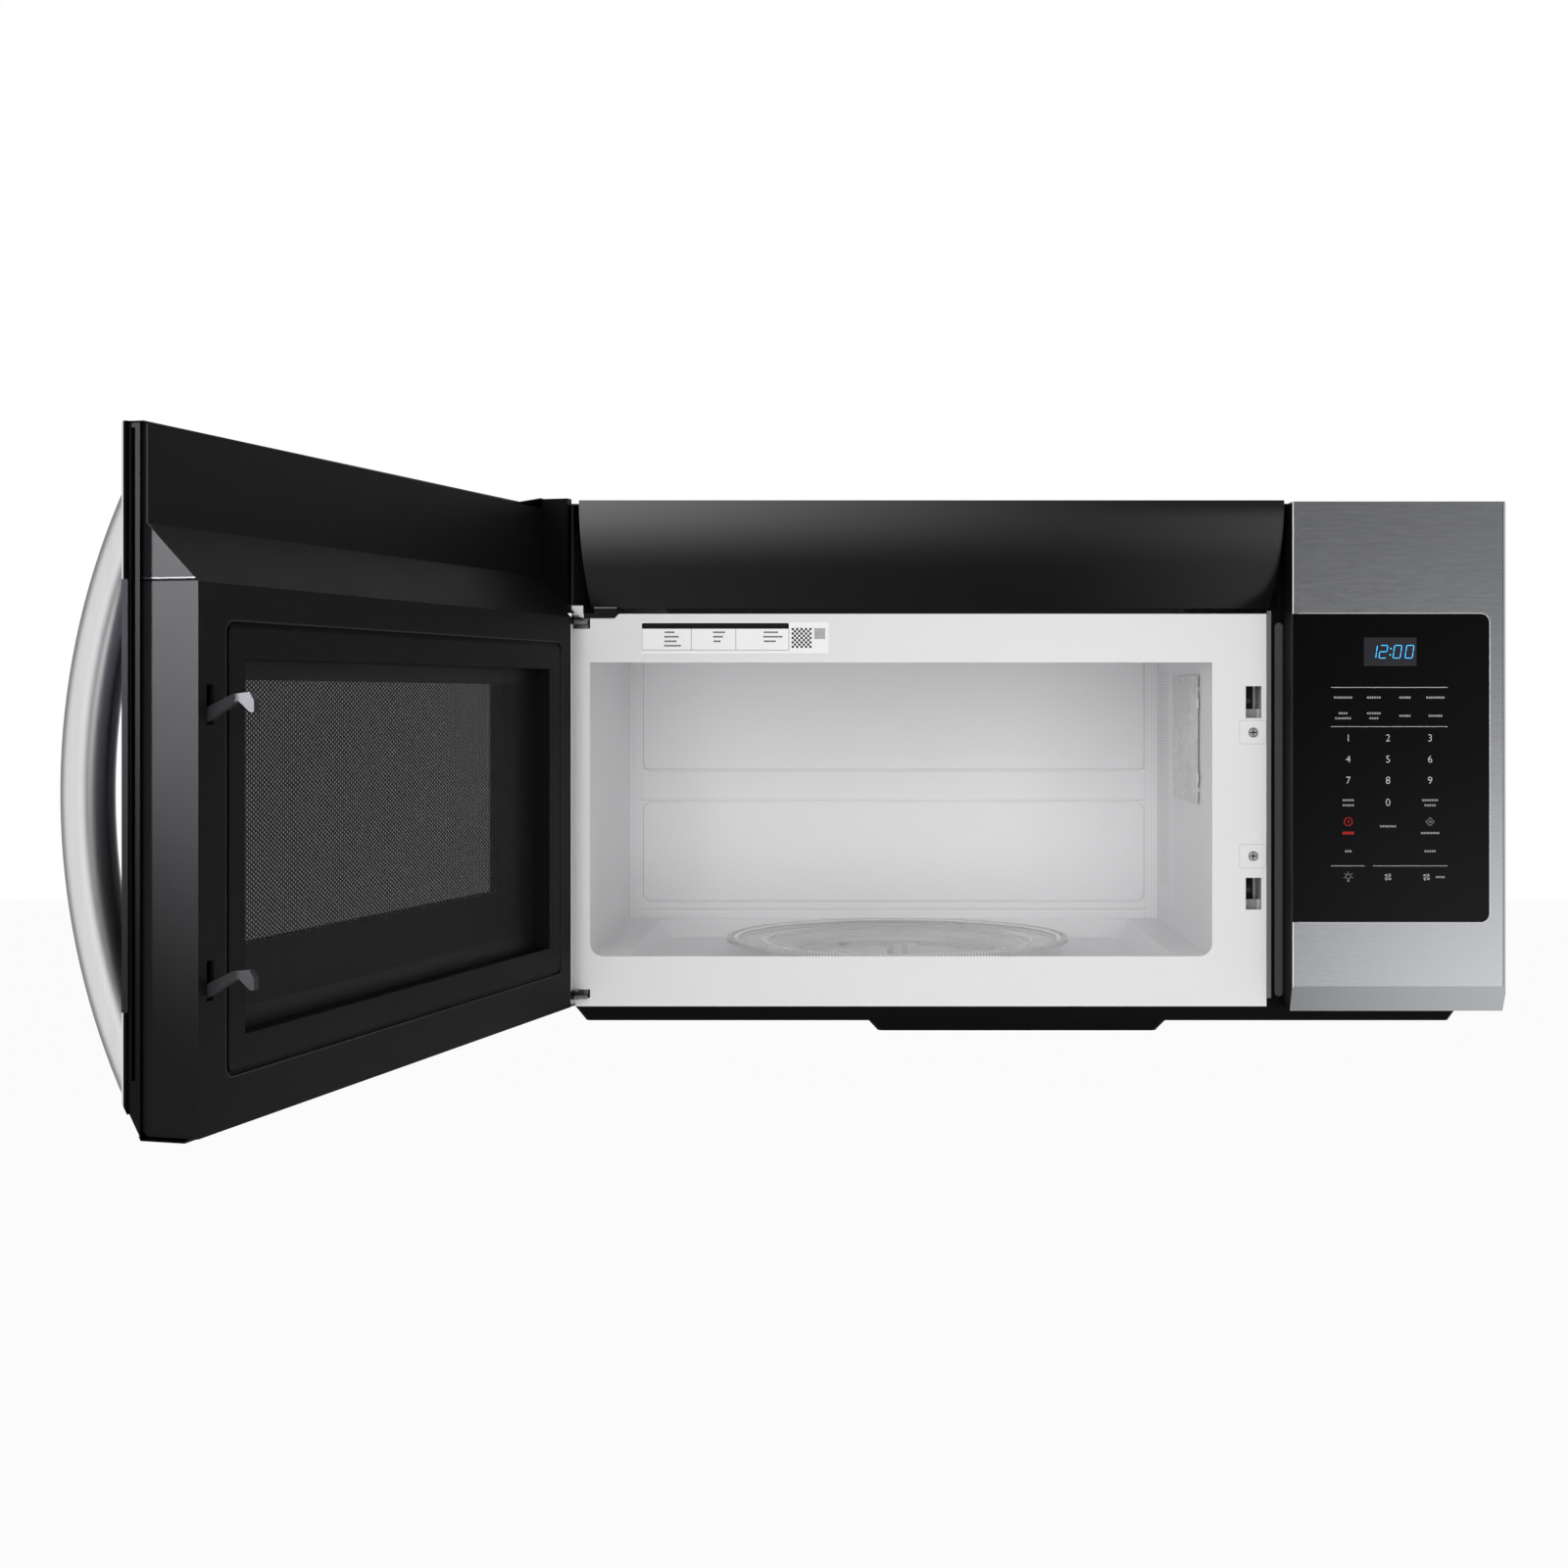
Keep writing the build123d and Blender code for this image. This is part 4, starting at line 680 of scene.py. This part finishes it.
class MICROWAVE_OT_cabinet(bpy.types.Operator):
    """Finishes the case, cavity, vent and base"""

    bl_idname = "microwave.cabinet"
    bl_label = "Cabinet"

    def execute(self, context):
        settings = context.scene.microwave_cabinet
        dress(self.front(settings.enamel), "front_frame")
        dress(self.liner(settings.liner), "cavity_liner")
        dress(self.grille(settings.grille), "vent_grille")
        dress(grained("case_paint", (0.022, 0.022, 0.024), 0.5), "outer_case")
        dress(grained("base_paint", (0.003, 0.003, 0.0034), 0.45, 1600.0, 0.15, 0.08), "base_pan")
        dress(grained("pod_plastic", (0.0025, 0.0025, 0.003), 0.45, 1600.0, 0.15, 0.08),
              "lamp_housing", "cord_bushing")
        dress(plated("zinc_sheet", (0.58, 0.59, 0.6)), "wall_plate", "back_panel",
              "exhaust_adapter", "damper_flap", "blower_housing", "blower_wheels", "waveguide")
        dress(plated("hinge_steel", (0.2, 0.2, 0.21), 0.35), "hinge_upper", "hinge_lower")
        dress(self.screw_steel(), "frame_screws")
        dress(speckled("mica_sheet", (0.84, 0.84, 0.85), 0.5, 160.0), "waveguide_cover")
        dress(mesh_sheet("filter_mesh", (0.6, 0.6, 0.61), 0.0045),
              "grease_filter_left", "grease_filter_right")
        dress(clear_glass("lamp_glass", (0.92, 0.93, 0.92), 0.35), "lamp_cover")
        dress(grained("lamp_frosted", (0.85, 0.83, 0.76), 0.3), "cavity_lamp", "cooktop_lamps")
        dress(speckled("carbon_pad", (0.02, 0.02, 0.02), 0.9, 500.0), "charcoal_filter")
        trim_plastic = grained("trim_plastic", (0.15, 0.15, 0.155), 0.4)
        rib_plastic = grained("rib_plastic", (0.055, 0.055, 0.059), 0.4)
        tab_enamel = enamel("tab_enamel", settings.liner)
        new_piece("panel_trim", self.trim(), trim_plastic, "cabinet")
        new_piece("panel_rib", self.rib(), rib_plastic, "cabinet")
        new_piece("mica_tabs", self.tabs(), tab_enamel, "cabinet")
        return {"FINISHED"}

    def front(self, colour):
        """Enamel with a pressed pad round each screw, drawn only as a painted shade line round its
        edge.
        """
        screw_inset, pad_x, pad_z, corner, line = 0.004, 0.0115, 0.01, 0.002, 0.0007
        finish = enamel("white_enamel", colour)
        x, _, z = finish.split(finish.place())
        low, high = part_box("frame_screws")
        middle = (low + high) / 2
        for height in (low.z + screw_inset, high.z - screw_inset):
            pad = (middle.x - pad_x, middle.x + pad_x, height - pad_z, height + pad_z)
            # the pad's edge is a painted shade line
            finish.over(finish.band(x, z, pad, corner, line) * 0.5, scaled(colour, 0.6))
        return finish

    def liner(self, colour):
        """Enamel with pressed lines on the back wall, drawn as painted highlights and painted
        shade, and fine vent holes on the right one, drawn as painted shade beside a painted
        highlight strip.
        """
        outer_left, left, right, outer_right = -0.3585, -0.352, 0.1408, 0.1473
        ledges = (-0.1598, -0.0534, -0.0228)
        crest = 0.0006  # half the width of the painted highlight on a pressed line
        row_pitch, column_pitch, hole_reach = 0.0028, 0.0044, 0.0016
        vent_top = 0.074
        finish = enamel("liner_enamel", colour)
        x, y, z = finish.split(finish.place())
        back_wall = y > -0.031
        # Each pressed line gets a painted highlight along it and painted shade beside it.
        for place in (outer_left, left, right, outer_right):
            across = abs(x - place)
            finish.over(across.within(crest, 0.0018) * back_wall * 0.5, scaled(colour, 0.8))
            finish.over((across < crest) * back_wall * 0.6, GLINT)
        panel = back_wall * x.within(left, right)
        # Each ledge gets painted shade above it and a painted highlight on it.
        for height in ledges:
            up = z - height
            finish.over(up.within(crest, 0.002) * panel * 0.5, scaled(colour, 0.7))
            finish.over(up.within(-0.0008, crest) * panel * 0.7, GLINT)
        right_wall = x > 0.1495
        row = ((z / row_pitch).math("FRACT") - 0.5) * row_pitch
        column = ((y / column_pitch).math("FRACT") - 0.5) * column_pitch
        hole = (row * row * 4 + column * column) ** 0.5 < hole_reach
        vent = y.within(-0.1, -0.045) * z.within(-0.128, vent_top) * right_wall
        # the vent holes are drawn as darker dots, painted shade in them
        finish.over(hole * vent * 0.5, scaled(colour, 0.65))
        # a painted highlight strip on the right wall
        strip = y.within(-0.128, -0.12) * z.within(-0.15, vent_top) * right_wall
        finish.over(strip * 0.7, GLINT)
        return finish

    def grille(self, colour):
        """Black plastic with a thick gloss, thinner to the right and none on the tongue below."""
        tongue_top = 0.1212
        finish = polished("gloss_grille", colour, 0.14, 0.1)
        x, _, z = finish.split(finish.place())
        coat = 0.8 - x.ease(-0.1, 0.2) * 0.45
        finish.put(coat_weight=z.ease(tongue_top, tongue_top + 0.0006) * coat,
                   coat_roughness=0.14, coat_ior=2.35)
        return finish

    def screw_steel(self):
        """Bright heads with painted shade: a dark ring near the edge and a dark cross for the
        recess.
        """
        head, cross_half, cross_reach = 0.0042, 0.00055, 0.0026
        finish = brushed("screw_steel", (0.8, 0.8, 0.81), (900, 900, 900), 0, 0.3)
        low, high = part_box("frame_screws")
        middle = (low + high) / 2
        x, _, z = finish.split(finish.place())
        across = abs(x - middle.x)
        up = abs(abs(z - middle.z) - (high.z - low.z) / 2 + head)
        radius = (across * across + up * up) ** 0.5
        cross = (across.math("MINIMUM", up) < cross_half) * (radius < cross_reach)
        edge = radius.within(head - 0.001, head - 0.0005)
        # painted shade in the cross recess and in a ring near the head's edge
        finish.over(cross.math("MAXIMUM", edge), (0.05, 0.05, 0.05))
        return finish

    def trim(self):
        """Grey strip down the panel's housing, beside the front frame."""
        mesh = bmesh.new()
        patch(mesh, 0.1963, 0.1996, -0.2, 0.1195, FRAME_FACE + 0.0006, thick=0.0011)
        return mesh

    def rib(self):
        """Raised rib between the strip and the panel."""
        mesh = bmesh.new()
        patch(mesh, 0.2022, 0.2083, -0.198, 0.1095, FRAME_FACE - 0.0005, thick=0.004,
              radius=0.003)
        return mesh

    def tabs(self):
        """Two tabs that hold the front edge of the mica sheet."""
        mesh = bmesh.new()
        low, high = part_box("waveguide_cover")
        size = Matrix.Diagonal((0.0008, 0.011, 0.008, 1))
        for down in (0.024, 0.088):
            place = Matrix.Translation((low.x - 0.0004, low.y - 0.0005, high.z - down))
            bmesh.ops.create_cube(mesh, size=1.0, matrix=place @ size)
        return mesh


class MICROWAVE_OT_works(bpy.types.Operator):
    """Finishes the electrical and cooling pieces inside the case"""

    bl_idname = "microwave.works"
    bl_label = "Inner works"

    def execute(self, context):
        dress(brushed("motor_steel", (0.42, 0.42, 0.43), (60, 60, 900), 0, 0.4),
              "turntable_motor", "hv_transformer", "fan_motor", "blower_motor")
        dress(brushed("fin_aluminium", (0.7, 0.7, 0.71), (60, 900, 60), 0, 0.35), "magnetron",
              "hv_capacitor")
        dress(speckled("circuit_board", (0.02, 0.1, 0.04), 0.5, 300.0), "noise_filter_board",
              "control_board")
        dress(grained("white_nylon", (0.75, 0.75, 0.73), 0.45), "fan_shroud", "fan_blade")
        dress(self.latch_plastic(), "latch_body")
        dress(grained("switch_plastic", (0.06, 0.06, 0.065), 0.5), "primary_switch",
              "secondary_switch", "primary_plunger", "secondary_plunger")
        return {"FINISHED"}

    def latch_plastic(self):
        """Grey plastic, with painted shade that turns it black where it lies far behind the slots.
        """
        slot_right = 0.1905
        finish = grained("latch_plastic", (0.6, 0.6, 0.61), 0.5)
        x, y, _ = finish.split(finish.place())
        # painted shade: the plastic is drawn black far behind the slots
        depth_shade = y.ease(FRAME_FACE + 0.004, FRAME_FACE + 0.024)
        finish.over(depth_shade * (x < slot_right), (0.004, 0.004, 0.004))
        return finish


class MICROWAVE_OT_turntable(bpy.types.Operator):
    """Finishes the tray, its roller ring and its drive"""

    bl_idname = "microwave.turntable"
    bl_label = "Turntable"

    def execute(self, context):
        dress(pressed_tray("tray_glass", (0.96, 0.96, 0.96)), "glass_tray")
        dress(grained("ring_nylon", (0.78, 0.78, 0.76), 0.4), "roller_ring", "roller_wheel_1",
              "roller_wheel_2", "roller_wheel_3", "drive_coupler")
        return {"FINISHED"}


class MICROWAVE_OT_control_panel(bpy.types.Operator):
    """Finishes the control panel and prints its keys and clock"""

    bl_idname = "microwave.control_panel"
    bl_label = "Control panel"

    def execute(self, context):
        settings = context.scene.microwave_panel
        steel = context.scene.microwave_cabinet.steel
        dress(self.fascia(steel), "control_fascia")
        dress(self.glass(), "control_glass")
        dress(grained("housing_plastic", (0.004, 0.004, 0.0045), 0.42, level=0.02),
              "control_housing", "display_module")
        key_ink = ink("key_ink", (0.72, 0.73, 0.74))
        line_ink = ink("line_ink", (0.32, 0.32, 0.33))
        stop_ink = ink("stop_ink", (0.55, 0.02, 0.02))
        mark_ink = ink("mark_ink", (0.3, 0.3, 0.31))
        glow = glowing("clock_glow", settings.clock, 1.1)
        new_piece("key_numbers", self.numbers(settings.figure), key_ink, "cabinet")
        new_piece("key_marks", self.marks(), mark_ink, "cabinet")
        new_piece("key_lines", self.lines(), line_ink, "cabinet")
        new_piece("stop_mark", self.stop_mark(), stop_ink, "cabinet")
        new_piece("clock_figures", self.clock(settings), glow, "cabinet")
        return {"FINISHED"}

    def fascia(self, steel):
        """Brushed steel with a painted highlight, white and not metallic, on the edge at the left
        and round the glass.
        """
        lip, corner, line = 0.0011, 0.007, 0.0008
        finish = brushed("panel_steel", steel, (240, 240, 2600), 0, 0.2)
        x, y, z = finish.split(finish.place())
        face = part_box("control_fascia")[0]
        low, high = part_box("control_glass")
        box = (low.x - lip, high.x + lip, low.z - lip, high.z + lip)
        rim = finish.band(x, z, box, corner + lip, line) * (x > low.x + lip)
        # the edge strip and the rim round the glass are a painted highlight
        edge = (x < face.x + line).math("MAXIMUM", rim * 0.4) * (y < face.y + 0.0005)
        finish.put(metallic=1 - edge)
        finish.over(edge, (0.8, 0.8, 0.8))
        return finish

    def glass(self):
        """Black glass with the clock's smoked window."""
        finish = polished("panel_glass", (0.002, 0.002, 0.0022), 0.09, 0.13)
        x, y, z = finish.split(finish.place())
        window = x.within(0.2652, 0.3074) * z.within(0.0732, 0.0961) * (y < PANEL_FACE + 0.0005)
        finish.over(window, (0.022, 0.022, 0.027))
        return finish

    def numbers(self, height):
        """The numbers 1 to 9 in three rows, and 0 under them."""
        mesh = bmesh.new()
        size = height / FIGURE_SHARE
        for place in range(9):
            down, across = divmod(place, 3)
            row = FIRST_NUMBER_ROW - NUMBER_STEP * down
            figures(mesh, str(place + 1), size, NUMBER_COLUMNS[across], row, PANEL_FACE)
        figures(mesh, "0", size, NUMBER_COLUMNS[1], ZERO_ROW, PANEL_FACE)
        return mesh

    def lines(self):
        """Two long lines over the keys, and a broken one under them."""
        half = 0.0003
        left, break_left, break_right, right = 0.2386, 0.2658, 0.2725, 0.3323
        mesh = bmesh.new()
        for x0, x1, z in ((left, right, 0.056), (left, right, 0.0245),
                          (left, break_left, -0.0874), (break_right, right, -0.0874)):
            patch(mesh, x0, x1, z - half, z + half, PANEL_FACE)
        return mesh

    def marks(self):
        """Dashes for the keys' words, and the marks of start, lamp and fan."""
        mesh = bmesh.new()
        left, middle, right = NUMBER_COLUMNS
        # The middle and height of each row of dashes, and how many it has.
        rows = (
            (0.2484, 0.0479, 8), (0.2731, 0.0479, 6), (0.2981, 0.0479, 5), (0.3226, 0.0479, 8),
            (0.2484, 0.0352, 4), (0.2484, 0.0312, 7), (0.2731, 0.0352, 6), (0.2731, 0.0312, 4),
            (0.2981, 0.0332, 5), (0.3226, 0.0332, 6), (left, -0.0346, 5), (left, -0.0387, 5),
            (right, -0.0346, 7), (right, -0.0387, 5), (middle, -0.0556, 7),
            (right, START_WORD_ROW, 8), (left, -0.0756, 3), (right, -0.0756, 5),
            (0.3265, LIGHT_ROW, 4),
        )
        for x, z, count in rows:
            dashes(mesh, x, z, count, PANEL_FACE)
        outline(mesh, right, START_ROW, 0.0036, 0.0005, 4, PANEL_FACE)
        outline(mesh, right, START_ROW, 0.0013, 0.0004, 4, PANEL_FACE)
        self.bulb(mesh, left, LIGHT_ROW)
        for x in (middle, 0.3155):
            self.fan(mesh, x, LIGHT_ROW)
        return mesh

    def bulb(self, mesh, x, z):
        """A ring over three short lines, with five rays."""
        globe_z = z + 0.0005
        globe, line, ray_reach, ray = 0.0021, 0.0004, 0.0034, 0.0006
        foot_half, foot_step = 0.0009, 0.0007
        outline(mesh, x, globe_z, globe, line, 20, PANEL_FACE)
        for step in range(3):
            top = z - 0.002 - step * foot_step
            patch(mesh, x - foot_half, x + foot_half, top - 0.0003, top, PANEL_FACE)
        for step in range(5):
            angle = math.radians(-15 + step * 52.5)
            disc(mesh, x + ray_reach * math.cos(angle), globe_z + ray_reach * math.sin(angle), ray,
                 PANEL_FACE, squeeze=0.35, turn=-angle - math.pi / 2)

    def fan(self, mesh, x, z):
        """A small ring with four blades round it."""
        hub, line, blade_reach, blade = 0.0008, 0.0004, 0.0021, 0.0014
        outline(mesh, x, z, hub, line, 12, PANEL_FACE)
        for step in range(4):
            angle = math.radians(45 + step * 90)
            disc(mesh, x + blade_reach * math.cos(angle), z + blade_reach * math.sin(angle), blade,
                 PANEL_FACE, squeeze=0.6, turn=0.5 - angle)

    def stop_mark(self):
        """A triangle in an octagon, over dashes."""
        mesh = bmesh.new()
        left = NUMBER_COLUMNS[0]
        outline(mesh, left, START_ROW, 0.0036, 0.0005, 8, PANEL_FACE, math.radians(22.5))
        outline(mesh, left, START_ROW, 0.0014, 0.0005, 3, PANEL_FACE, math.radians(90))
        dashes(mesh, left, START_WORD_ROW, 5, PANEL_FACE, height=0.0022)
        return mesh

    def clock(self, settings):
        """The time, of four slanting figures with a colon."""
        height, width, narrow = 0.0102, 0.0058, 0.003
        one = ("tr", "br")
        two = ("top", "tr", "mid", "bl", "low")
        nought = ("top", "low", "tl", "tr", "bl", "br")
        shapes = ((0.2738, one, narrow), (0.2808, two, width), (0.2921, nought, width),
                  (0.3018, nought, width))
        mesh = bmesh.new()
        lean = math.tan(settings.lean)
        for x, lit, wide in shapes:
            clock_figure(mesh, lit, x, CLOCK_ROW, wide, height, PANEL_FACE, lean)
        for up in (-0.0025, 0.0025):
            disc(mesh, 0.2866 + up * 0.14, CLOCK_ROW + up, 0.0006, PANEL_FACE)
        return mesh


class MICROWAVE_OT_guide_label(bpy.types.Operator):
    """Makes the plain printed label on the front frame"""

    bl_idname = "microwave.guide_label"
    bl_label = "Guide label"

    def execute(self, context):
        paper = ink("label_paper", (0.93, 0.93, 0.93))
        black = ink("label_ink", (0.006, 0.006, 0.006))
        new_piece("guide_label", self.paper(), paper, "cabinet")
        new_piece("guide_label_print", self.table(), black, "cabinet")
        return {"FINISHED"}

    def paper(self):
        """The sheet, with round corners."""
        mesh = bmesh.new()
        patch(mesh, -0.3207, -0.1653, 0.0843, 0.1103, FRAME_FACE, LABEL_THICK, radius=0.0016)
        return mesh

    def table(self):
        """A dark bar and a table with rows of dashes, and two squares of checks beside them."""
        left, right, bottom, line = -0.3197, -0.1983, 0.0869, 0.0003
        first_row, row_step, indent = 0.1018, 0.0037, 0.0008
        checks = 9  # along each side of a square: an odd number, so that every other one is dark
        face = FRAME_FACE - LABEL_THICK
        mesh = bmesh.new()
        patch(mesh, left, right, 0.1047, 0.1094, face, radius=0.0012)
        for x in (left, -0.279, -0.2422, -0.1985):
            patch(mesh, x, x + line, 0.0871, 0.106, face)
        patch(mesh, left, right, bottom, bottom + line, face)
        for x, rows in ((-0.3, (4, 6, 5, 7)), (-0.26, (5, 4, 3)), (-0.218, (6, 8, 5))):
            for row, count in enumerate(rows):
                dashes(mesh, x + count * indent, first_row - row * row_step, count, face,
                       height=0.0013, step=0.002, width=0.0016)
        for x0, z0, cell in ((-0.196, 0.0889, 0.00182), (-0.1773, 0.0963, 0.00099)):
            for spot in range(0, checks * checks, 2):
                up, across = divmod(spot, checks)
                x, z = x0 + across * cell, z0 + up * cell
                patch(mesh, x, x + cell, z, z + cell, face)
        return mesh


class MICROWAVE_OT_door(bpy.types.Operator):
    """Finishes the door, its window screen, handle and latch"""

    bl_idname = "microwave.door"
    bl_label = "Door"

    def execute(self, context):
        settings = context.scene.microwave_door
        steel = context.scene.microwave_cabinet.steel
        dress(self.skin(steel), "door_skin")
        dress(self.glass(settings.tint), "door_glass")
        dress(self.screen(settings), "window_screen")
        dress(grained("frame_plastic", (0.0025, 0.0025, 0.0028), 0.4, level=0.06),
              "door_outer_frame")
        dress(grained("frame_paint", (0.006, 0.006, 0.0065), 0.45, level=0.12), "door_inner_frame")
        dress(self.cover(settings.cover), "choke_cover")
        dress(brushed("handle_aluminium", (0.58, 0.58, 0.59), (500, 500, 6), DOOR_TURN, 0.34),
              "door_handle")
        dress(brushed("bolt_steel", (0.6, 0.6, 0.61), (900, 900, 900), 0, 0.35), "handle_screws")
        dress(grained("bush_nylon", (0.02, 0.02, 0.02), 0.4), "hinge_bushes")
        dress(grained("hook_plastic", (0.02, 0.02, 0.022), 0.42, level=0.15), "latch_bar")
        self.spring(brushed("spring_wire", (0.5, 0.5, 0.51), (300, 300, 300), 0, 0.3))
        return {"FINISHED"}

    def spring(self, finish):
        """The latch bar's spring, as a piece riding on the latch in place of its CAD node."""
        mesh = bmesh.new()
        mesh.from_mesh(frame["nodes"]["latch_spring"].data)
        bmesh.ops.remove_doubles(mesh, verts=mesh.verts, dist=1e-6)
        coil = new_piece("latch_coil", mesh, finish, "latch")
        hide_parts("latch_spring")
        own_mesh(coil)

    def cover(self, colour):
        """Grained plastic, black with painted shade in the groove round the window, and painted
        highlights on its edges.

        The painted highlights run beside the groove, down the free end and over the seam at its
        top, with a painted shade line under the seam's highlight. Places are on the door as if it
        were closed.
        """
        groove_width, lip_width, corner = 0.0036, 0.001, 0.007
        left, right, bottom, top = -0.3317, 0.169, -0.1735, 0.092
        groove_box = (left, right, bottom, top)
        lip_box = (left - lip_width, right + lip_width, bottom - lip_width, top + lip_width)
        seam = 0.1152
        finish = grained("cover_plastic", colour, 0.5, 1300.0, 0.3, 0.05)
        x, y, z = finish.split(finish.door_place())
        groove = finish.band(x, z, groove_box, corner, groove_width)
        lip = finish.band(x, z, lip_box, corner + lip_width, lip_width)
        inner_face = y > HINGE.y - 0.003
        end_edge_highlight = x.within(0.1972, 0.1988) * y.within(-0.3893, -0.385)
        end_face = x > 0.1985
        # Painted shade in the groove and under the seam, and painted highlights on the lip, the
        # free end's edge and the seam.
        finish.over(groove * inner_face, SHADOW)
        finish.over(lip * inner_face, scaled(colour, 5))
        finish.over(end_edge_highlight, scaled(colour, 12))
        finish.over(end_face * z.within(seam - 0.0014, seam), SHADOW)
        finish.over(end_face * z.within(seam, seam + 0.0008), scaled(colour, 5))
        return finish

    def skin(self, steel):
        """Brushed steel with black folded edges."""
        fold = -0.4009  # how far back the bare face reaches on the closed door
        finish = brushed("door_steel", steel, (240, 240, 2600), DOOR_TURN, 0.2)
        _, y, _ = finish.split(finish.door_place())
        finish.over(y > fold, (0.003, 0.003, 0.003))
        return finish

    def glass(self, tint):
        """Black edged glass with a smoked window."""
        finish = polished("door_window_glass", (0.0025, 0.0025, 0.003), 0.07, 0.2)
        x, _, z = finish.split(finish.door_place())
        window = x.within(-0.298, 0.15) * z.within(-0.1057, 0.0882)
        finish.put(alpha=1 - window * (1 - tint))
        return finish

    def screen(self, settings):
        """Black screen with columns of holes, every other one half a pitch higher.

        The back of the sheet is left open over them, so that they show from the side.
        """
        finish = grained("screen_paint", (0.01, 0.01, 0.0105), 0.42, level=0.08)
        close = Matrix.Rotation(DOOR_TURN, 3, "Z")
        depths = [(close @ (vert.co - HINGE)).y + HINGE.y
                  for vert in frame["nodes"]["window_screen"].data.vertices]
        half_depth = (min(depths) + max(depths)) / 2
        x, y, z = finish.split(finish.door_place())
        pitch = settings.hole_pitch
        step = pitch * math.sqrt(3) / 2
        column = (x / step).math("FLOOR")
        aside = column.math("FLOORED_MODULO", 2.0) * 0.5
        across = ((x / step).math("FRACT") - 0.5) * step
        up = ((z / pitch + aside).math("FRACT") - 0.5) * pitch
        distance = (across * across + up * up) ** 0.5
        field = x.within(-0.288, 0.141) * z.within(-0.138, 0.058)
        rear = y < half_depth
        hole = (distance < settings.hole).math("MAXIMUM", rear) * field
        finish.put(alpha=1 - hole)
        return finish


class MICROWAVE_PT_sidebar(bpy.types.Panel):
    """Lists the microwave's settings and operators"""

    bl_idname = "MICROWAVE_PT_sidebar"
    bl_label = "Microwave"
    bl_space_type = "VIEW_3D"
    bl_region_type = "UI"
    bl_category = "Microwave"

    def draw(self, context):
        for name, settings, operators in SECTIONS:
            box = self.layout.box()
            box.label(text=name)
            group = getattr(context.scene, settings)
            for key in group.bl_rna.properties.keys():
                if key not in ("name", "rna_type"):
                    box.prop(group, key)
            for operator in operators:
                box.operator(operator)


SECTIONS = (
    ("Stage", "microwave_stage", ("microwave.stage",)),
    ("Cabinet", "microwave_cabinet", ("microwave.cabinet", "microwave.works", "microwave.turntable",
                                      "microwave.guide_label")),
    ("Control panel", "microwave_panel", ("microwave.control_panel",)),
    ("Door", "microwave_door", ("microwave.door",)),
)
GROUPS = {
    "microwave_stage": StageSettings,
    "microwave_cabinet": CabinetSettings,
    "microwave_panel": PanelSettings,
    "microwave_door": DoorSettings,
}
CLASSES = (
    StageSettings, CabinetSettings, PanelSettings, DoorSettings, MICROWAVE_OT_stage,
    MICROWAVE_OT_cabinet, MICROWAVE_OT_works, MICROWAVE_OT_turntable, MICROWAVE_OT_control_panel,
    MICROWAVE_OT_guide_label, MICROWAVE_OT_door, MICROWAVE_PT_sidebar,
)


def register():
    for made in CLASSES:
        bpy.utils.register_class(made)
    for name, group in GROUPS.items():
        setattr(bpy.types.Scene, name, PointerProperty(type=group))


def unregister():
    for name in GROUPS:
        delattr(bpy.types.Scene, name)
    for made in reversed(CLASSES):
        bpy.utils.unregister_class(made)


def main():
    """Makes everything in order."""
    register()
    bpy.ops.microwave.stage()
    bpy.ops.microwave.cabinet()
    bpy.ops.microwave.works()
    bpy.ops.microwave.turntable()
    bpy.ops.microwave.control_panel()
    bpy.ops.microwave.guide_label()
    bpy.ops.microwave.door()


if __name__ == "__main__":
    main()
